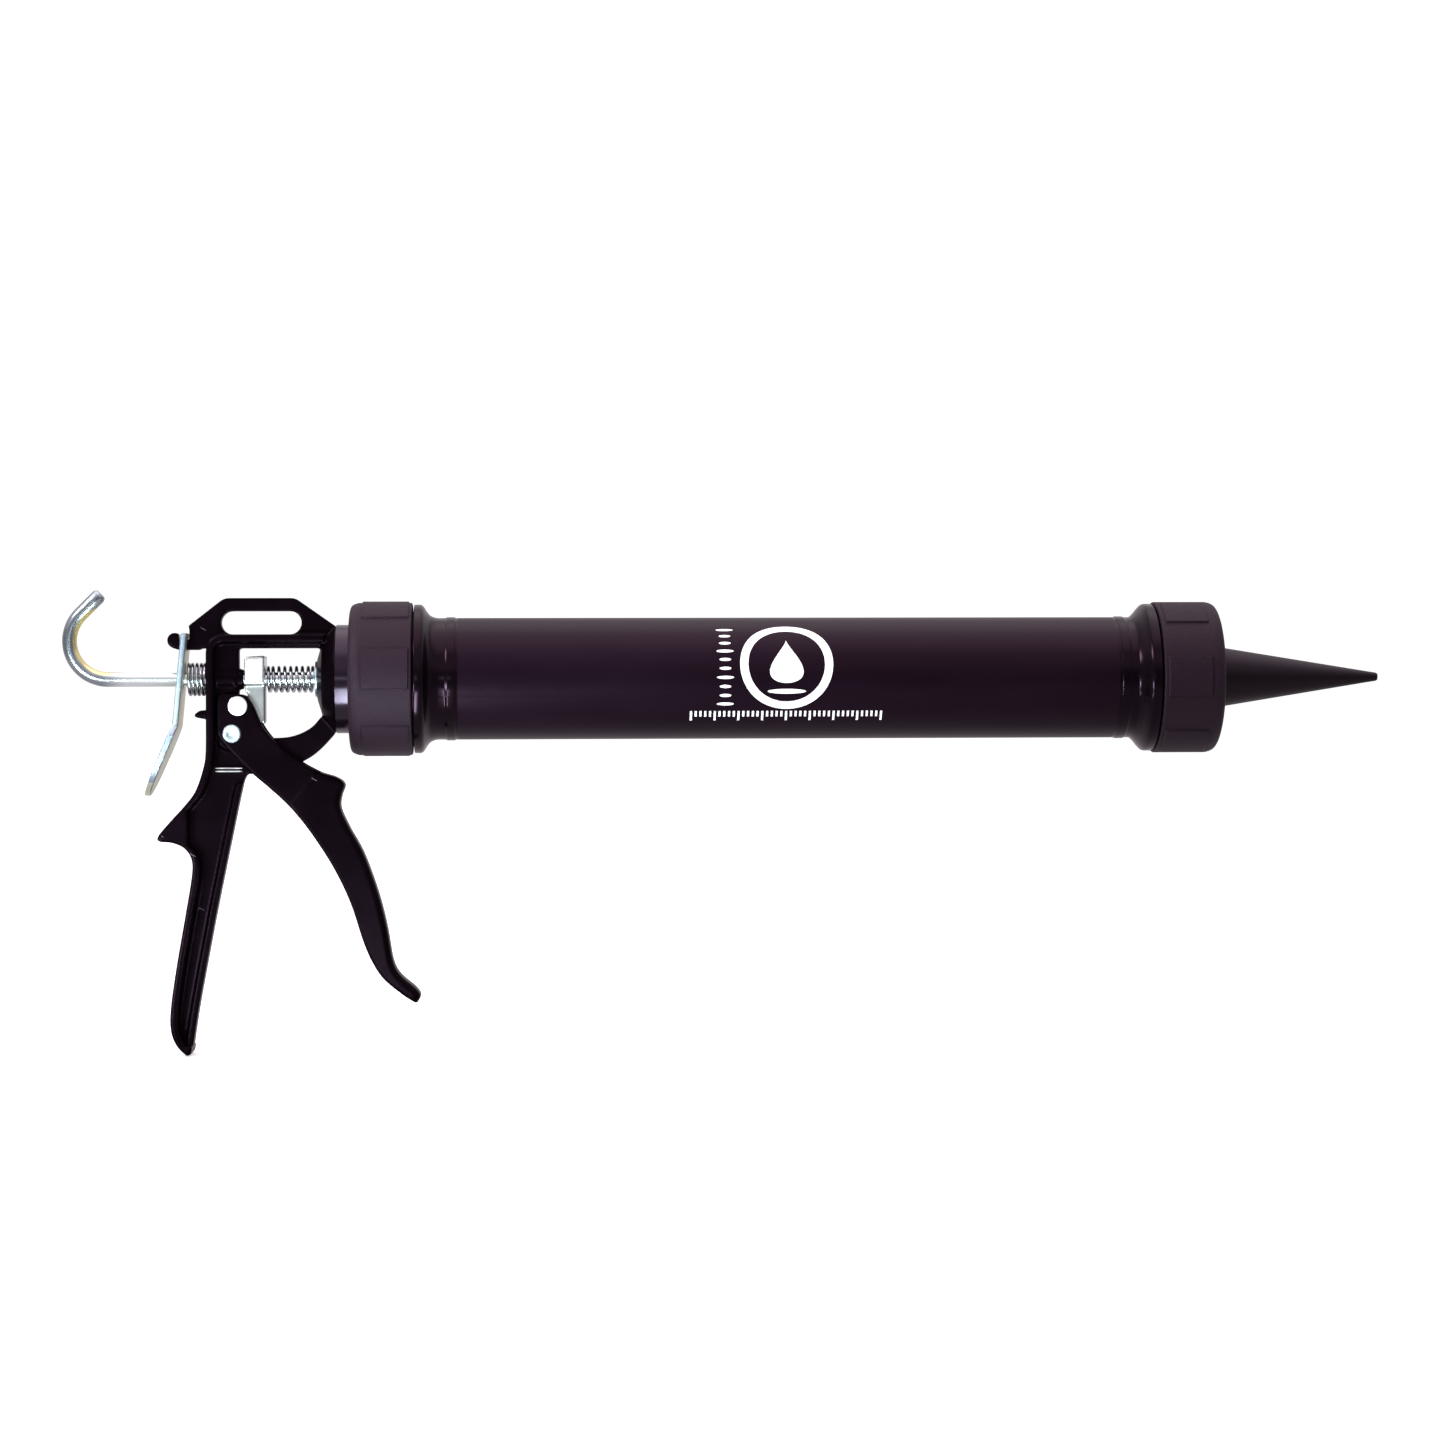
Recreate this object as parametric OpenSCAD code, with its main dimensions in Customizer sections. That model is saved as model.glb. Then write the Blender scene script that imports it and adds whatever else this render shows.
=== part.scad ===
// Caulking gun for 600 ml sausage packs: cast handle frame, thrust rod and screw-on barrel.
// X runs along the rod towards the nozzle, Z is up, and the origin is the centre of the
// nozzle outlet. Inside the modules x = 0 is the front face of the handle frame.

/* [Barrel] */
// Outside diameter of the barrel tube
barrel_od = 54; // [52:0.5:55]
// Wall thickness of the barrel tube
barrel_wall = 2; // [1.5:0.1:2.5]
// Length of the barrel from end face to end face
barrel_length = 373; // [300:1:400]
// Outside diameter of the moulded collars next to the ring nuts
collar_d = 66; // [64:0.5:67]
// Outside diameter of the threaded ends
spigot_d = 58.6; // [57:0.1:59]

/* [Ring nut and cap] */
// Outside diameter of the ring nut and front cap between the grip pads
cap_d = 67.6; // [66:0.2:69]
// How far a grip pad stands out
pad_rise = 0.8; // [0.4:0.1:1.2]
// Length of the ring nut and of the front cap
cap_length = 28; // [24:0.5:28]
// Number of grip pads around each cap
pad_count = 6; // [4:1:8]

/* [Nozzle] */
// Length of the cone in front of the cap
nozzle_length = 74.8; // [60:0.2:90]
// Outside diameter at the root of the cone
nozzle_root_d = 27.8; // [24:0.2:28]
// Outside diameter at the tip
nozzle_tip_d = 3.8; // [3.6:0.1:6]
// Diameter of the outlet bore
outlet_d = 2.4; // [1.5:0.1:2.6]

/* [Handle] */
// Thickness of the casting's web
web_t = 8; // [7:0.5:9]
// Width of the rim that rests in the palm
rim_w = 23; // [21:0.5:25]
// Diameter of the front neck where the ring nut turns
neck_d = 48.1; // [46:0.1:48.4]
// Length of the hanging slot
slot_length = 35.4; // [30:0.2:38]
// Height of the hanging slot
slot_height = 10.3; // [8:0.1:11]

/* [Mechanism] */
// Diameter of the thrust rod
rod_d = 6.5; // [6:0.1:6.6]
// Length of the straight rod from the hook to the piston end
rod_length = 451; // [420:1:455]
// Radius of the pulling hook, to the middle of the rod
hook_r = 17; // [14:0.5:19]
// Width of the trigger over its ears
trigger_w = 18.4; // [18:0.1:19]
// Diameter of the roller that pushes the drive dog
roller_d = 8; // [7:0.1:8]
// Thickness of the release plate
plate_t = 2.6; // [2:0.1:2.8]
// Angle of the release plate when it grips the rod
plate_tilt = 5.5; // [4:0.5:6]

/* [Hidden] */
$fn = 72;
cut = 0.5; // how far a cutting body runs past a face
gap = 0.3; // air between parts that move past each other

// Along the gun
neck_length = 5.5;
nut_wall = 3;
nut_x = neck_length + gap;
flange_x = nut_x + nut_wall + gap;
flange_t = 3.1;
barrel_x = flange_x + flange_t + gap;
collar_x = nut_x + cap_length + gap;
barrel_end_x = barrel_x + barrel_length;
cap_wall = 3.6;
gasket_t = 1;
nozzle_flange_t = 2;
nozzle_flange_x = barrel_end_x + gasket_t + 0.2;
cap_end_x = nozzle_flange_x + nozzle_flange_t + 0.1 + cap_wall;
cap_x = cap_end_x - cap_length;
outlet_x = cap_end_x + nozzle_length;

// Radii of the barrel
barrel_r = barrel_od / 2;
bore_r = barrel_r - barrel_wall;
spigot_r = spigot_d / 2;
nut_bore_r = spigot_r + 0.6;
collar_r = collar_d / 2;
cap_r = cap_d / 2;
neck_r = neck_d / 2;
rod_r = rod_d / 2;
rod_bore_r = rod_r + 0.2;

// Trigger linkage, seen from the side as [x, z]
pivot = [-45.8, -24.1];
roller_pos = [-43.2, -11.9];
pivot_r = 3;
roller_r = roller_d / 2;
pin_r = 2.5;
ear_t = 3.2;
ear_gap = trigger_w - 2 * ear_t;
dog_x = -40.2;
dog_front = -31.4;
tongue_x = roller_pos[0] + roller_r + 0.1;
tongue_end = -19.6; // lowest point of the dog's tongue, clear of the pivot boss
nut_pad_turn = 7;          // turn of the ring nut's grip pads about the axis
ring_x = -8.6;
seat_x = ring_x - 0.9;

// Frame places, seen from the side as [x, z]
column_x = -57;
column_front = -42.9;
rim_t = 3.4;
rim_top = 19.6;
window_top = 13.7;
nose_z = 13;
hanger = [-15.3 - slot_length / 2 - 0.1, 25];
hinge = [-66.9, 15.3];
screw_r = 1.5;
screw_seat = 4.6;

// Piston, measured from the end of the rod's shoulder
rod_rear = -100.5;
rod_end = rod_rear + rod_length;
disc_x = rod_end - 16;
disc_t = 2;
cup_x = disc_x + disc_t;
cup_t = 4;
cup_length = 12;
seal_r = bore_r - gap;

// Points on an arc about c, from angle a0 to a1 in degrees
function arc(c, r, a0, a1, n = 10) =
    [for (i = [0:n]) c + r * [cos(a0 + (a1 - a0) * i / n), sin(a0 + (a1 - a0) * i / n)]];

// A point on the smooth curve between b and c, with a and d as its neighbours
function blend_point(a, b, c, d, t) = 0.5 * (2 * b + (c - a) * t
    + (2 * a - 5 * b + 4 * c - d) * t * t + (3 * b - a - 3 * c + d) * t * t * t);

// A smooth curve through every point of p
function curve(p, n = 5) = concat(
    [for (i = [0:len(p) - 2]) for (k = [0:n - 1])
        blend_point(p[max(i - 1, 0)], p[i], p[i + 1], p[min(i + 2, len(p) - 1)], k / n)],
    [p[len(p) - 1]]);

// A flat shape drawn as [x, z], thickened about the middle plane of the gun
module slab(t) {
    rotate([90, 0, 0]) linear_extrude(height = t, center = true) children();
}

// A turned part on the rod's axis, drawn as [radius, x]
module lathe(points) {
    rotate([0, 90, 0]) rotate_extrude() polygon(points);
}

// A cylinder on the rod's axis between two places
module rod_cylinder(r, x0, x1) {
    translate([x0, 0, 0]) rotate([0, 90, 0]) cylinder(r = r, h = x1 - x0);
}

// A cylinder across the gun, centred on the middle plane at p = [x, z]
module cross_cylinder(p, r, w) {
    translate([p[0], 0, p[1]]) rotate([90, 0, 0]) cylinder(r = r, h = w, center = true);
}

// Round wire wound about the rod's axis
module coil(x0, x1, mean_r, wire_r, turns, steps = 16, sides = 8) {
    rings = turns * steps;
    run = x1 - x0 - 2 * wire_r;
    points = [for (i = [0:rings]) for (j = [0:sides - 1])
        let (a = 360 * i / steps, b = 360 * j / sides, r = mean_r + wire_r * cos(b))
        [x0 + wire_r + run * i / rings + wire_r * sin(b), r * cos(a), r * sin(a)]];
    skin = [for (i = [0:rings - 1]) for (j = [0:sides - 1])
        let (k = (j + 1) % sides)
        [i * sides + j, i * sides + k, (i + 1) * sides + k, (i + 1) * sides + j]];
    ends = [[for (j = [0:sides - 1]) sides - 1 - j], [for (j = [0:sides - 1]) rings * sides + j]];
    polyhedron(points = points, faces = concat(skin, ends));
}

// Side view of the column and grip, from the top of the palm rim round to the neck of the grip
module grip_outline() {
    back = curve([[column_x, -26], [-57.6, -36.5], [-61.4, -48.7], [-66.5, -55.8], [-72.5, -62.4],
        [-78, -69], [-77.4, -71.4], [-72, -72], [-66.6, -74.4], [-63.4, -79.5], [-63.4, -87],
        [-66.2, -104], [-70.2, -127], [-72.7, -145], [-72.6, -155], [-69.8, -161.8], [-65.6, -165.8]]);
    front = curve([[-63.8, -165], [-63, -159], [-61.2, -147], [-58.9, -134], [-53.2, -104], [-47.6, -76.5],
        [-42.4, -51.6], [-40.2, -43.4], [-37.8, -41.2]]);
    polygon(concat([[column_front, window_top]], arc([-49, rim_top - 8], 8, 90, 180), back, front,
        [[-26, -41], [-26, -26], [column_front, -26]]));
}

// Side view of the arm under the window, up to the front ring
module arm_outline() {
    upper = curve([[-6.5, -16], [-10.3, -20.6], [-15.4, -23.8], [-21.4, -25.6], [-28, -26]]);
    polygon(concat(upper, [[-48, -26], [-48, -38]],
        curve([[-38, -42], [-26, -40.8], [-14.8, -36.4], [-7.6, -31.4], [-1, -24.4]]), [[-1, -16]]));
}

// The loop that the gun hangs by, with the nose that carries the release plate
module hanger_outline() {
    difference() {
        union() {
            polygon(concat([[-0.4, nose_z], [-0.4, 23.4]], arc([-20, 29.9], 6, 60, 90, 4),
                arc([-47.4, 29.9], 6, 90, 127, 4), [[-69.8, 20], [-71.4, nose_z + 0.8]]));
            polygon([[-72, nose_z + 0.8], [-69.4, nose_z], [-60, nose_z], [-60, 20], [-72, 20]]);
            translate([-71.1, 17.2]) circle(r = 3.4);
        }
        for (side = [-1, 1]) translate(hanger + [side * (slot_length - slot_height) / 2, 0])
            circle(d = slot_height);
        translate(hanger) square([slot_length - slot_height, slot_height], center = true);
        translate([-69.3, 17.2]) square([4.6, 6]);
    }
}

// The open middle of the frame, where the drive dog and its spring work
module window_outline() {
    difference() {
        polygon([[column_front, window_top], [0, window_top], [0, -14], [-28, -26], [-38, -26],
            [-47.8, -20], [-47.8, -6.6], [column_front, -6.6]]);
        translate(pivot) circle(r = 7.8);
    }
}

module front_ring() {
    lathe([[0, ring_x], [9, ring_x], [16.8, -6.2], [23.7, 0], [0, 0]]);
}

// The casting before its bores: web, rims, ring and bosses
module frame_body() {
    slab(web_t) difference() {
        union() {
            grip_outline();
            hanger_outline();
            arm_outline();
        }
        window_outline();
    }
    palm_rim();
    top_rim();
    front_ring();
    rod_cylinder(5.2, -53.5, -44.6);
    rod_cylinder(4.4, -45, -40.7);
    cross_cylinder(pivot, 7.6, ear_gap - 0.8);
    slab(web_t) polygon([[-62.7, -15.6], [-60.4, -13.8], [-56, -13.5], [-56, -18], [-62.3, -16.8]]);
    for (z = [-40.6, -39.1]) translate([-53.4, -web_t / 2 - 0.4, z - 0.35])
        cube([12.2, web_t + 0.8, 0.7]);
}

// Rim along the back of the column and grip, full width over the horn and the foot
module palm_rim() {
    slab(rim_w) difference() {
        grip_outline();
        translate([rim_t, 0]) grip_outline();
        translate([-48, -42]) square([30, 62]);
        translate([-55, -170]) square([20, 120]);
        translate([column_front - 8, 8]) square([20, 20]);
    }
    slab(rim_w) intersection() {
        grip_outline();
        union() {
            translate([-80, -76]) square([15, 20]);
            translate([-80, -170]) square([20, 8.5]);
        }
    }
    slab(web_t + 3) difference() {
        grip_outline();
        translate([-3, 0]) grip_outline();
        translate([-60, -46]) square([40, 70]);
    }
}

// Rim over the window, rounded down into the column
module top_rim() {
    centre = [-49, rim_top - 8];
    slab(rim_w) polygon(concat([[-5, rim_top - rim_t], [-5, rim_top]], arc(centre, 8, 90, 180),
        [[column_x, 0], [column_x + rim_t, 0]], arc(centre, 8 - rim_t, 180, 90)));
}

module handle_frame() {
    color([0.06, 0.055, 0.06]) difference() {
        frame_body();
        rod_cylinder(rod_bore_r, -60, -38);
        rod_cylinder(rod_r + 1.5, -10, cut);
        cross_cylinder(pivot, pivot_r + 0.05, 30);
        screw_places() translate([0, 0, -4]) cylinder(r = screw_r + 0.1, h = 5);
    }
}

// Side view of the trigger, down the front from the head and back up the finger side
module trigger_outline() {
    front = curve([[-39.2, -7.6], [-36.4, -11.6], [-33.4, -18.7], [-29.6, -24.6], [-23, -31.4],
        [-15.2, -36.8], [-7.3, -41], [0, -43.4], [3.6, -46.6], [2.2, -51.4], [1.8, -57],
        [5.6, -65.6], [11.8, -77], [18, -94], [22, -109.6], [24.6, -124.4], [28, -131],
        [34.4, -136.6], [36.8, -140.2], [35, -143.6]]);
    back = curve([[30, -140.6], [20.8, -133], [15.4, -125], [11.2, -115], [6, -99], [-1.4, -83.4],
        [-11.4, -67.8], [-20.2, -56.8], [-28.6, -48.8], [-37.6, -41], [-48, -30.4], [-52.4, -24]]);
    polygon(concat(front, back, [[-52.4, -9]], arc([-50, -9], 2.4, 180, 90, 4), [[-42, -6.6]]));
}

// The hollow between the trigger's ears, open to the back
module trigger_hollow() {
    front = curve([[-30, -36], [-14, -46.6], [-3, -49], [-2.4, -55], [1, -66.6], [7.6, -78.6],
        [13.6, -95], [17.4, -110], [19.8, -124], [22, -131]]);
    polygon(concat([[-60, 0], [-30, 0], [-30, -36]], front, [[12, -136], [-30, -90]]));
}

module trigger() {
    color([0.06, 0.055, 0.06]) difference() {
        slab(trigger_w) trigger_outline();
        slab(ear_gap) trigger_hollow();
        slab(ear_gap) translate([-60, -44]) square([52.5, 44]);
        cross_cylinder(pivot, pivot_r + 0.1, 30);
        cross_cylinder(roller_pos, pin_r + 0.02, 30);
    }
}

module pivot_rivet() {
    color("silver") {
        cross_cylinder(pivot, pivot_r + 0.02, trigger_w + 0.4);
        translate([pivot[0], -trigger_w / 2 - 0.2, pivot[1]]) rotate([90, 0, 0]) difference() {
            cylinder(r1 = 4.2, r2 = 3.6, h = 1);
            translate([0, 0, 0.5]) cylinder(r1 = 1.6, r2 = 2.6, h = 1);
        }
        translate([pivot[0], trigger_w / 2 + 1.1, pivot[1]]) rotate([-90, 0, 0])
            cylinder(r1 = 4, r2 = 3.4, h = 1);
        translate([pivot[0], trigger_w / 2, pivot[1]]) rotate([-90, 0, 0])
            cylinder(r = pivot_r + 0.02, h = 1.2);
    }
}

module pivot_washer() {
    color("lightsteelblue") translate([pivot[0], trigger_w / 2 + 0.2, pivot[1]]) rotate([-90, 0, 0])
        difference() {
            cylinder(r = 5.2, h = 0.8);
            translate([0, 0, -cut]) cylinder(r = pivot_r + 0.15, h = 2);
        }
}

module roller_pin() {
    color("white") {
        cross_cylinder(roller_pos, pin_r, trigger_w);
        for (side = [-1, 1]) translate([roller_pos[0], side * (trigger_w / 2 + 0.3), roller_pos[1]])
            rotate([90, 0, 0]) cylinder(r = 4.3, h = 0.6, center = true);
    }
}

module drive_roller() {
    color("lightgray") difference() {
        cross_cylinder(roller_pos, roller_r, ear_gap - 1.2);
        cross_cylinder(roller_pos, pin_r + 0.08, 20);
    }
}

// Block that grips the rod, with the tongue that the roller pushes
module drive_dog() {
    color("whitesmoke") difference() {
        union() {
            intersection() {
                translate([dog_x, -10, -2.4]) cube([dog_front - dog_x, 20, 13]);
                rotate([0, -4, 0]) translate([dog_x - 5, -12, -9]) cube([20, 24, 21.5]);
            }
            translate([tongue_x, -5.2, tongue_end]) cube([dog_front - tongue_x, 10.4, -tongue_end]);
            translate([dog_x, -5.2, -5.8]) cube([5, 10.4, 12]);
        }
        rod_cylinder(rod_r + 0.25, dog_x - cut, dog_front + cut);
        translate([dog_front, 0, tongue_end - 2.5]) rotate([0, -45, 0]) cube([8, 12, 4], center = true);
    }
}

module main_spring() {
    color("gray") coil(dog_front + 0.1, seat_x - 0.1, 5.3, 0.75, 8.5);
}

module spring_seat() {
    color("silver") lathe([[rod_bore_r + 0.2, seat_x], [7.9, seat_x], [7.9, ring_x],
        [rod_bore_r + 0.2, ring_x]]);
}

module rod_bush() {
    color("dimgray") lathe([[rod_r + 0.15, ring_x], [rod_r + 1.5, ring_x], [rod_r + 1.5, 0],
        [rod_r + 0.15, 0]]);
}

// Front view of the release plate as [y, z], with its hinge at the origin
module plate_outline() {
    tongue_r = 15;
    plate_end = -68;
    difference() {
        union() {
            translate([-12.5, -40]) square([25, 45.2]);
            polygon([[-12.5, -36], [-tongue_r, -40], [-tongue_r, plate_end + tongue_r],
                [tongue_r, plate_end + tongue_r], [tongue_r, -40], [12.5, -36]]);
            translate([0, plate_end + tongue_r]) circle(r = tongue_r);
        }
        translate([-web_t / 2 - 0.4, -2.6]) square([web_t + 0.8, 5.2]);
        translate([0, -hinge[1] / cos(plate_tilt)]) circle(r = rod_r + 0.5);
    }
}

// Sprung catch that keeps the rod from running back; its tongue is pressed to free the rod
module release_plate() {
    bend_z = -36;
    bend = 17.5;
    half = plate_t / 2;
    mitre = half / cos(bend / 2) * [cos(bend / 2), -sin(bend / 2)];
    tip = [0, bend_z] - 34 * [sin(bend), cos(bend)];
    across = half * [cos(bend), -sin(bend)];
    color("lightsteelblue") translate([hinge[0], 0, hinge[1]]) rotate([0, plate_tilt, 0])
        intersection() {
            slab(40) polygon([[-half, 6], [half, 6], [0, bend_z] + mitre, tip + across, tip - across,
                [0, bend_z] - mitre]);
            translate([-20, 0, 0]) rotate([90, 0, 90]) linear_extrude(height = 30) plate_outline();
        }
}

module release_spring() {
    color("gray") coil(-66.1, column_x - 0.1, 6.8, 0.7, 4.5);
}

// Thrust rod with its pulling hook, stepped down where the piston is clamped
module thrust_rod() {
    hook_lead = 12.5;
    color("silver") {
        rod_cylinder(rod_r, rod_rear, disc_x);
        rod_cylinder(rod_r - 0.75, disc_x - 1, rod_end);
        translate([rod_rear, 0, hook_r]) {
            rotate([90, 0, 0]) rotate([0, 0, 135]) rotate_extrude(angle = 135)
                translate([hook_r, 0]) circle(r = rod_r);
            rotate([0, -45, 0]) translate([0, 0, hook_r]) rotate([0, 90, 0]) {
                cylinder(r = rod_r, h = hook_lead - 1.5);
                translate([0, 0, hook_lead - 1.5]) cylinder(r1 = rod_r, r2 = rod_r - 0.9, h = 1.5);
            }
        }
    }
}

// Neck that the ring nut turns on, with the flange that the barrel is drawn against
module end_plate() {
    color([0.05, 0.05, 0.05]) difference() {
        lathe([[rod_r + 1, 0], [neck_r, 0], [neck_r, flange_x], [spigot_r - 0.6, flange_x],
            [spigot_r - 0.6, flange_x + flange_t], [bore_r - 1, flange_x + flange_t],
            [bore_r - 3, flange_x + flange_t + 2], [12, flange_x + flange_t + 2], [10, flange_x + 2],
            [rod_r + 1, flange_x + 2]]);
        screw_places() {
            translate([0, 0, -cut]) cylinder(r = screw_r + 0.2, h = 30);
            translate([0, 0, screw_seat]) cylinder(r = 2 * screw_r + 0.3, h = 30);
        }
    }
}

// The three places where the end plate is screwed to the frame, with Z along the gun
module screw_places() {
    for (a = [90, 210, 330]) rotate([a, 0, 0]) translate([0, 0, 15.5]) rotate([0, 90, 0]) children();
}

module plate_screws() {
    color("silver") screw_places() {
        translate([0, 0, -3.4]) cylinder(r = screw_r, h = 9);
        translate([0, 0, screw_seat]) difference() {
            cylinder(r = 2 * screw_r, h = 2.6);
            translate([0, 0, 1.2]) cylinder(r = screw_r, h = 2, $fn = 6);
        }
    }
}

// Raised grip pads on a ring nut or cap, with one centred at the given height angle
module grip_pads(x0, x1, phase) {
    width = 180 / pad_count;
    for (k = [0:pad_count - 1]) rotate([0, 90, 0])
        rotate([0, 0, -90 - phase - width / 2 + k * 360 / pad_count])
        rotate_extrude(angle = width) polygon([[cap_r - 1, x0], [cap_r + pad_rise - 0.3, x0],
            [cap_r + pad_rise, x0 + 0.4], [cap_r + pad_rise, x1 - 0.4],
            [cap_r + pad_rise - 0.3, x1], [cap_r - 1, x1]]);
}

module ring_nut() {
    x1 = nut_x + cap_length;
    color([0.09, 0.075, 0.07]) {
        lathe(concat([[neck_r + gap, nut_x], [28.6, nut_x]],
            arc([cap_r - 4, nut_x + 4], 4, -60, 0, 6),
            [[cap_r, x1 - 0.8], [cap_r - 0.8, x1], [nut_bore_r, x1], [nut_bore_r, nut_x + nut_wall],
            [neck_r + gap, nut_x + nut_wall]]));
        grip_pads(nut_x + 5.6, x1 - 1.4, nut_pad_turn);
    }
}

// Tube with moulded collars and the two ends that take the ring nut and the cap
module barrel() {
    front = cap_x - gap;
    color([0.055, 0.05, 0.055]) lathe([[bore_r, barrel_x], [spigot_r - 0.6, barrel_x],
        [spigot_r, barrel_x + 0.8], [spigot_r, collar_x], [collar_r - 0.6, collar_x],
        [collar_r, collar_x + 0.6], [collar_r, collar_x + 3.4], [collar_r - 1, collar_x + 4.5],
        [barrel_r + 2.8, collar_x + 5.8], [barrel_r + 1, collar_x + 7.3],
        [barrel_r + 0.3, collar_x + 9.1], [barrel_r, collar_x + 10.4],
        [barrel_r, collar_x + 14], [barrel_r + 0.4, collar_x + 14.8],
        [barrel_r + 0.4, collar_x + 18], [barrel_r, collar_x + 18.6],
        [barrel_r, front - 17.2], [barrel_r + 0.4, front - 16.6], [barrel_r + 0.4, front - 13.4],
        [barrel_r, front - 12.6], [barrel_r, front - 10.2], [barrel_r + 0.4, front - 9.3],
        [barrel_r + 2, front - 7.6], [collar_r - 1.6, front - 5.7],
        [collar_r - 0.3, front - 4.4], [collar_r, front - 3.4], [collar_r, front - 0.6],
        [collar_r - 0.6, front], [spigot_r, front], [spigot_r, barrel_end_x - 0.8],
        [spigot_r - 0.6, barrel_end_x], [bore_r, barrel_end_x]]);
}

module front_cap() {
    hole_r = nozzle_root_d / 2 + 0.5;
    color([0.09, 0.075, 0.07]) {
        lathe(concat([[nut_bore_r, cap_x], [cap_r - 0.8, cap_x], [cap_r, cap_x + 0.8]],
            arc([cap_r - 7, cap_end_x - 4.6], 7, 0, 41, 6),
            [[26.6, cap_end_x], [hole_r, cap_end_x], [hole_r, cap_end_x - cap_wall],
            [nut_bore_r, cap_end_x - cap_wall]]));
        grip_pads(cap_x + 2, cap_end_x - 6.4, 0);
    }
}

module cone_nozzle() {
    root_r = nozzle_root_d / 2;
    tip_r = nozzle_tip_d / 2;
    inside_x = nozzle_flange_x + nozzle_flange_t;
    color([0.07, 0.055, 0.055]) lathe([[root_r - 1.6, nozzle_flange_x],
        [spigot_r - 0.2, nozzle_flange_x], [spigot_r - 0.2, inside_x], [root_r, inside_x],
        [root_r, cap_end_x], [tip_r + 0.45, outlet_x - 4], [tip_r, outlet_x - 0.6],
        [tip_r - 0.4, outlet_x], [outlet_d / 2, outlet_x], [outlet_d / 2, outlet_x - 6]]);
}

module nozzle_gasket() {
    color("dimgray") lathe([[bore_r, barrel_end_x + 0.2], [spigot_r - 0.6, barrel_end_x + 0.2],
        [spigot_r - 0.6, nozzle_flange_x], [bore_r, nozzle_flange_x]]);
}

module piston_disc() {
    color("silver") lathe([[rod_r - 0.7, disc_x], [20.5, disc_x], [20.5, cup_x], [rod_r - 0.7, cup_x]]);
}

// Cup with a skirt that follows the barrel wall
module piston_cup() {
    color("ivory") lathe([[rod_r - 0.7, cup_x], [20.5, cup_x], [22, cup_x - 6],
        [24, cup_x - 6], [24, cup_x + cup_t], [22.4, cup_x + cup_t], [22.4, cup_x + cup_length - 1],
        [21.4, cup_x + cup_length], [19.4, cup_x + cup_length], [18, cup_x + cup_t],
        [rod_r - 0.7, cup_x + cup_t]]);
}

module piston_seal() {
    x0 = cup_x + cup_t;
    color("dimgray") lathe([[22.4, x0], [seal_r - 0.6, x0], [seal_r, x0 + 0.6], [seal_r, x0 + 3],
        [22.4, x0 + 3.6]]);
}

module piston_washer() {
    x0 = cup_x + cup_t;
    color("silver") lathe([[rod_r - 0.7, x0], [9, x0], [9, x0 + 1.4], [rod_r - 0.7, x0 + 1.4]]);
}

module piston_nut() {
    color("silver") translate([cup_x + cup_t + 1.4, 0, 0]) rotate([0, 90, 0]) difference() {
        cylinder(r = 5.8, h = 5, $fn = 6);
        translate([0, 0, -cut]) cylinder(r = rod_r - 0.7, h = 6);
    }
}

// Moves a part from the frame's front face to the nozzle outlet's place
module placed() {
    translate([-outlet_x, 0, 0]) children();
}

placed() handle_frame();
placed() trigger();
placed() pivot_rivet();
placed() pivot_washer();
placed() roller_pin();
placed() drive_roller();
placed() drive_dog();
placed() main_spring();
placed() spring_seat();
placed() rod_bush();
placed() release_plate();
placed() release_spring();
placed() thrust_rod();
placed() end_plate();
placed() plate_screws();
placed() ring_nut();
placed() barrel();
placed() front_cap();
placed() cone_nozzle();
placed() nozzle_gasket();
placed() piston_disc();
placed() piston_cup();
placed() piston_seal();
placed() piston_washer();
placed() piston_nut();
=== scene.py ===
"""Looks of a caulking gun for sausage packs: cast handle, thrust rod, screw-on barrel and nozzle.

Every piece is in metres in the frame's own coordinates: X runs along the rod towards the
nozzle, Z is up, and the near side of the gun is at negative Y. Sizes in the classes are in
millimetres, and places along the gun are counted from the front face of the handle casting.
"""

import logging
import math
from dataclasses import dataclass, field
from enum import Enum
from typing import Callable, Sequence

import bmesh
import bpy
import numpy as np
from mathutils import Euler, Matrix, Vector
from mathutils.bvhtree import BVHTree


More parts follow.
